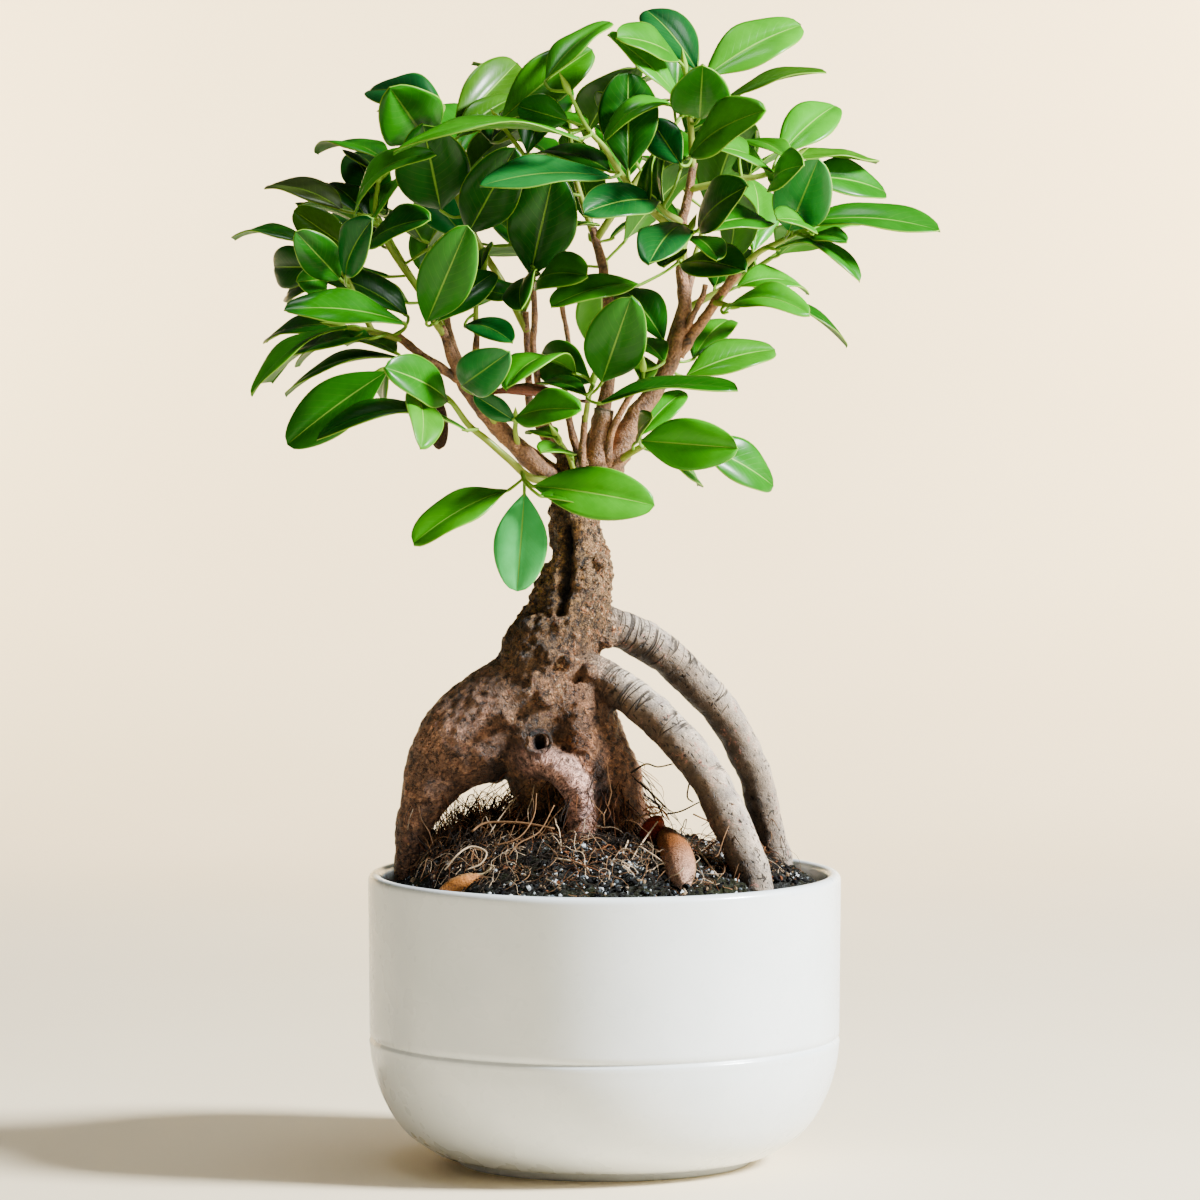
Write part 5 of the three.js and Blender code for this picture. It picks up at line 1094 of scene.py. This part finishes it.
def leaf_seen(row, slide):
    """A leaf of the photograph, moved by (shift, tilt) in depth: `looks` is how wide it looks."""
    x, z, tip_x, tip_z, looks, y, reach = row[:7]
    shift, tilt = slide
    base, tip = seen(x, z, y + shift), seen(tip_x, tip_z, y + shift + reach + tilt)
    along = tip - base
    width = max(looks, LEAF["ratio"] * np.linalg.norm(along))
    along = unit(along)
    eye = unit(np.array([0, -EYE["distance"], EYE["height"]]) - base)
    facing = unit(eye - along * eye.dot(along))
    sky = np.cross(along, facing)
    if sky[2] < 0:
        sky = -sky
    turn = math.acos(min(1, looks / width))
    return {"base": base, "tip": tip, "up": facing * math.cos(turn) + sky * math.sin(turn), "width": width,
            "arch": row[7] if len(row) > 7 else LEAF["arch"]}


def leaf_wild(stem, i, count, draws, turned):
    """Leaf i of `count` on a shoot behind, spiralling up the stem."""
    turn, pitch = turned
    share = 0.22 + 0.78 * (i + 0.5) / count
    k = share * (len(stem) - 1)
    n = min(int(k), len(stem) - 2)
    here, following = stem[n][0], stem[n + 1][0]
    along = unit(following - here)
    foot = here + (following - here) * (k - n)
    sideways = unit(np.cross((0, 0, 1), along))
    raised = np.cross(along, sideways)
    angle = i * GOLDEN_ANGLE + 0.5 * (draws[0] - 0.5) + turn
    out = sideways * math.cos(angle) + raised * math.sin(angle)
    lean = 1 + 0.35 * (1 - share) + 0.3 * (draws[1] - 0.5) + pitch
    way = along * math.cos(lean) + out * math.sin(lean)
    way[2] += 0.24 - 0.3 * draws[2]
    way = unit(way)
    length = 33 + 12 * draws[3]
    base = foot + way * (7 + 3 * draws[2])
    sky = np.array([0.3 * (draws[4] - 0.5), 0.3 * (draws[5] - 0.5), 0.8]) + along * 0.45
    return {"base": base, "tip": base + way * length, "up": unit(sky - way * sky.dot(way)),
            "width": length * (0.44 + 0.08 * draws[5]), "arch": 0.05 + 0.07 * draws[4]}


def draws_from(seed):
    """A repeatable stream of numbers from 0 to 1, the same as in the solids' source."""
    state = [seed]

    def imul(a, b):
        return (a * b) & 0xFFFFFFFF

    def draw():
        state[0] = (state[0] + 0x6D2B79F5) & 0xFFFFFFFF
        t = imul(state[0] ^ (state[0] >> 15), 1 | state[0])
        t = ((t + imul(t ^ (t >> 7), 61 | t)) & 0xFFFFFFFF) ^ t
        return ((t ^ (t >> 14)) & 0xFFFFFFFF) / 4294967296

    return draw


class Guard:
    """A closed shape that others are tested against."""

    def __init__(self, shape, owner=""):
        points, faces = shape
        self.owner = owner
        self.low, self.high = points.min(axis=0), points.max(axis=0)
        self.tree = BVHTree.FromPolygons(points.tolist(), faces)

    def crosses(self, other):
        if (self.low > other.high).any() or (other.low > self.high).any():
            return False
        return bool(self.tree.overlap(other.tree))


def settle_leaves():
    """Every leaf's place, by the rule that also places the solids' leaves: the first clear choice."""

    def guard(knots, sides, owner=""):
        return Guard(tube(placed(knots), sides, CLEAR["tube"]), owner)

    limbs = [guard(knots, 8) for knots in CAUDEX.values()]
    limbs += [guard(knots, 5) for knots in BRANCHES.values()]
    stems = [guard(knots, 4, name) for name, (_, knots, _) in SHOOTS.items()]
    taken, settled = [], {}
    for name, (_, knots, rows) in SHOOTS.items():
        stem = placed(knots)
        count, seed = WILD.get(name, (0, 1))
        draw = draws_from(seed)
        choices = [[leaf_seen(row, slide) for slide in SLIDES] for row in rows]
        for i in range(count):
            draws = [draw() for _ in range(6)]
            choices.append([leaf_wild(stem, i, count, draws, turned) for turned in TURNS])
        settled[name] = []
        for index, leaves in enumerate(choices):
            allowed = None
            for leaf in leaves:
                whole = Guard(leaf_shape(leaf, stem), name)
                blade = Guard(leaf_shape(leaf, stem, stalked=False), name)
                if any(other.owner != name and whole.crosses(other) for other, _ in taken) \
                        or any(other.owner != name and whole.crosses(other) for other in stems) \
                        or any(blade.crosses(limb) for limb in limbs):
                    continue
                clear = not any(other.owner == name and blade.crosses(other) for _, other in taken)
                if allowed is None or clear:
                    allowed = (leaf, whole, blade)
                if clear:
                    break
            if allowed:
                taken.append(allowed[1:])
                settled[name].append((index, allowed[0]))
    return settled


def add_blade(skin, leaf, tone, draw):
    """A fine blade on the plain leaf's lines, with a groove at the midrib, full halves and a live edge."""
    n, m = 22, 12  # strips along and across
    t = np.linspace(0, 1, n + 1)
    t = 0.5 * t + 0.25 * (1 - np.cos(np.pi * t))
    s = np.linspace(-1, 1, m + 1)
    s = np.sign(s) * np.abs(s) ** 0.85
    t, s = [a.ravel() for a in np.meshgrid(t, s, indexing="ij")]
    side = unit(np.cross(leaf["up"], unit(leaf["tip"] - leaf["base"])))
    half = leaf["width"] / 2 * np.maximum(outline(t), 0.03 * (1 - t))
    wave = np.sin(t * (7 + 4 * draw.random()) + 6 * draw.random() + s)
    wave = 0.035 * leaf["width"] * np.abs(s) ** 3 * wave
    rise = LEAF["fold"] * half * np.abs(s) ** 1.15 + 0.09 * half * np.sin(np.pi * np.abs(s)) + wave
    middle = midrib(leaf, t) + side * (half * s * 0.985)[:, None] + leaf["up"] * rise[:, None]
    thick = 0.34 - 0.16 * np.abs(s) ** 4
    groove = 0.16 * np.exp(-(s * half / 0.5) ** 2)
    above = middle + leaf["up"] * (thick - groove)[:, None]
    below = middle - leaf["up"] * (thick + groove)[:, None]
    count = len(t)
    faces = []
    for i in range(n):
        row = i * (m + 1)
        for a in range(row, row + m):
            b, c, d = a + 1, a + m + 1, a + m + 2
            faces += [(a, c, d, b), (a + count, b + count, d + count, c + count)]
        a, b = row, row + m
        c, d = a + m + 1, b + m + 1
        faces += [(a, a + count, c + count, c), (b, d, d + count, b + count)]
    tints = np.vstack([np.tile([*tone, side_up], (count, 1)) for side_up in (1.0, 0.0)])
    uv = np.column_stack([np.tile(t, 2), np.tile(s, 2) / 2 + 0.5])
    skin.add(np.vstack([above, below]), faces, tints, uv)


def add_stalk(skin, leaf, stem, colour):
    foot = stalk_foot(leaf, stem)
    along = unit(leaf["tip"] - leaf["base"])
    reach = np.linalg.norm(leaf["base"] - foot)
    bend = leaf["base"] - along * min(5, 0.35 * reach)
    inner = leaf["base"] + along * 2.2 + leaf["up"] * leaf["arch"] * 2
    line = [(foot, 0.68), (foot * 0.45 + bend * 0.55, 0.52), (leaf["base"], 0.6), (inner, 0.4)]
    skin.add(*tube(smooth_line(line, 4), 7), colour, look=1)


def add_bud(skin, stem, colour):
    """The slim pointed bud at a shoot's end."""
    end = stem[-1][0]
    way = unit(end - stem[-2][0])
    line = [(end + way * k, r) for k, r in ((-1, 0.7), (1, 1.25), (3, 1.1), (5.5, 0.6), (8, 0.08))]
    skin.add(*tube(smooth_line(line, 3), 8), colour, look=1)


STEM_BROWN, STEM_GREEN = np.array([0.28, 0.150, 0.068]), np.array([0.050, 0.115, 0.010])
STALK_GREEN, DRY_STALK, BUD = [0.032, 0.066, 0.005], (0.10, 0.05, 0.02), (0.20, 0.32, 0.03)


def make_shoots(draw):
    for name, leaves in settle_leaves().items():
        tones, knots, _ = SHOOTS[name]
        stem = placed(knots)
        dry = name.startswith("dry")
        skin = Skin()
        line = smooth_line(stem, 6)
        points, faces = tube(line, 9)
        ring = np.repeat(np.linspace(0, 1, len(line)), 9)[:, None]
        greenness = clip01(2.2 * ring - 0.9)
        colour = STEM_BROWN * (1 - greenness) + (STEM_BROWN if dry else STEM_GREEN) * greenness
        colour *= 1 + 0.8 * fractal(points, 0.7)[:, None] * (1 - greenness)
        skin.add(points, faces, colour, look=1)
        for index, leaf in leaves:
            # Each leaf's colour with its painted light and shade: from its letter, or for a leaf behind
            # from a letter drawn at random.
            letter = tones[index] if tones else "gbdgb"[int(5 * draw.random())]
            tone = np.array(LEAF_COLOURS_WITH_PAINTED_LIGHT[letter]) * (0.88 + 0.24 * draw.random(3))
            add_blade(skin, leaf, tone, draw)
            add_stalk(skin, leaf, stem, DRY_STALK if dry else 0.6 * tone + STALK_GREEN)
        if not dry:
            add_bud(skin, stem, BUD)
        node, slot = (name, "dry") if dry else ("shoot_" + name, "leaf")
        skin.piece("leafy_" + name, [node], slot, [DRY if dry else LEAF_SKIN, STALK])


# ---- what lies on the soil ----

LITTER = {  # knots [x, z, y, radius], the turns where the curl ends, and colours from end to end
    "dry_leaf_on_soil": (
        [[-56, 91.5, -43, 0.8], [-52, 93.4, -44, 2.6], [-47.5, 94.8, -44, 3.3], [-43.5, 96, -43, 2.4],
         [-41, 97, -42.5, 0.7]], (118, 400),
        [(0.42, 0.14, 0.022), (0.50, 0.17, 0.025), (0.34, 0.12, 0.025)]),
    "dry_scale": (
        [[13.2, 108, -24, 1.2], [14.4, 110, -24, 3.0], [16.2, 112.8, -23.5, 3.6], [18, 115.6, -23, 2.8],
         [18.9, 117.2, -22.5, 0.9]], (70, 290),
        [(0.13, 0.009, 0.003), (0.20, 0.014, 0.004), (0.34, 0.060, 0.012)]),
    "root_husk": (
        [[19, 113, -19, 1.2], [21.5, 109.5, -26, 4.0], [24.5, 104, -38, 5.4], [26, 98, -50, 5.0],
         [27.5, 93, -58.5, 1.8]], (60, 300),
        [(0.045, 0.030, 0.006), (0.30, 0.095, 0.022), (0.62, 0.36, 0.25)]),
}
LITTER_STALK = [[-44, 97.5, -44, 0.4], [-41, 97.6, -43, 0.5], [-39, 99.2, -42, 0.5],
    [-37.6, 100.6, -41.5, 0.35]]
PALE_RIM = np.array([0.52, 0.32, 0.15])


def make_litter():
    """The curled dry leaf, the dark red scale and the pale husk: thin curled skins with a pale rim."""
    for name, (knots, opening, tones) in LITTER.items():
        line = smooth_line(placed(knots), 6)
        first, last = np.radians(opening)
        turns = np.radians(np.linspace(*opening, 12))
        ring = [(a, 1.0) for a in turns] + [(a, 0.84) for a in turns[::-1]]
        points, faces = tube(line, len(ring), ring=ring)
        t = np.repeat(np.linspace(0, 1, len(line)), len(ring))
        turn, depth = np.tile(ring, (len(line), 1)).T
        shade = np.column_stack([np.interp(t, (0, 0.5, 1), channel) for channel in zip(*tones)])
        shade *= (1 + 0.5 * fractal(points, 0.5))[:, None]
        # Painted shade on the inner face, inside the curl.
        shade[depth < 1] *= 0.45
        edge = np.minimum(turn - first, last - turn) < 0.16
        shade[edge] = shade[edge] * 0.4 + PALE_RIM * 0.6 * (0.3 if name == "dry_scale" else 1)
        skin = Skin()
        skin.add(points, faces, np.clip(shade, 0.004, 1))
        if name == "dry_leaf_on_soil":
            skin.add(*tube(smooth_line(placed(LITTER_STALK), 4), 6), (0.42, 0.30, 0.15))
        skin.piece("litter_" + name, [name], "dry", [DRY])


# ---- the stage, in metres ----

FLOOR = {"front": -9.0, "bend": 0.9, "radius": 0.8, "side": 9.0, "top": 65}  # top: degrees of the sweep
LAMPS = [  # name, place, aim, size, power, colour
    ("key", (1.65, -0.45, 1.25), (0, 0, 0.2), 0.45, 246, (0.95, 0.985, 1.0)),
    ("fill", (-1.4, -2.0, 1.0), (0, 0, 0.2), 1.5, 2.2, (1.0, 0.83, 0.60)),
    ("overhead", (-0.2, 0.1, 1.9), (0, 0, 0.3), 0.6, 14, (0.94, 0.98, 1.0)),
    ("wall", (-0.62, 1.15, 0.62), (-0.1, 1.75, 0.36), 0.35, 15.5, (1.0, 0.82, 0.48)),
    ("wall", (0.62, 1.15, 0.62), (0.1, 1.75, 0.36), 0.35, 15.5, (1.0, 0.77, 0.38)),
]
SURROUNDINGS = {"Color": (1.0, 0.93, 0.82, 1), "Strength": 0.07}
CAMERA = {"sensor": 36, "lens": 222.68, "place": (-0.0015, -2.5, 0.37), "down": 4.104}


def add_lamp(name, place, aim, size, power, colour):
    lamp = bpy.data.lights.new(name, "AREA")
    lamp.shape, lamp.size, lamp.energy, lamp.color = "DISK", size, power, colour
    obj = bpy.data.objects.new(name, lamp)
    obj.location = place
    obj.rotation_euler = (Vector(aim) - Vector(place)).to_track_quat("-Z", "Y").to_euler()
    bpy.context.scene.collection.objects.link(obj)


def make_stage():
    """The sweep behind is only as high as the photograph needs, so the back can be seen over it."""
    bend, radius, side = FLOOR["bend"], FLOOR["radius"], FLOOR["side"]
    profile = [(FLOOR["front"], 0.0), (bend, 0.0)]
    profile += [(bend + radius * math.sin(a), radius * (1 - math.cos(a)))
                for a in np.radians(range(5, FLOOR["top"] + 1, 5))]
    points = [(x, y, z) for y, z in profile for x in (-side, side)]
    faces = [(2 * i, 2 * i + 1, 2 * i + 3, 2 * i + 2) for i in range(len(profile) - 1)]
    mesh = bpy.data.meshes.new("floor")
    mesh.from_pydata(points, [], faces)
    mesh.polygons.foreach_set("use_smooth", [True] * len(faces))
    mesh.materials.append(floor_look())
    obj = bpy.data.objects.new("floor", mesh)
    bpy.context.scene.collection.objects.link(obj)
    for lamp in LAMPS:
        add_lamp(*lamp)
    world = bpy.data.worlds.new("studio")
    world.use_nodes = True
    for key, value in SURROUNDINGS.items():
        world.node_tree.nodes["Background"].inputs[key].default_value = value
    bpy.context.scene.world = world


def make_camera():
    data = bpy.data.cameras.new("photo")
    data.sensor_width, data.lens = CAMERA["sensor"], CAMERA["lens"]
    data.clip_start, data.clip_end = 0.1, 50
    obj = bpy.data.objects.new("photo", data)
    obj.location = CAMERA["place"]
    obj.rotation_euler = (math.radians(90 - CAMERA["down"]), 0, 0)
    bpy.context.scene.collection.objects.link(obj)
    bpy.context.scene.camera = obj


make_camera()
make_stage()
make_pot()
make_soil()
make_grit(np.random.default_rng(3))
make_rootlets(np.random.default_rng(4))
make_caudex()
make_branches()
make_shoots(np.random.default_rng(5))
make_litter()

bpy.context.view_layer.update()
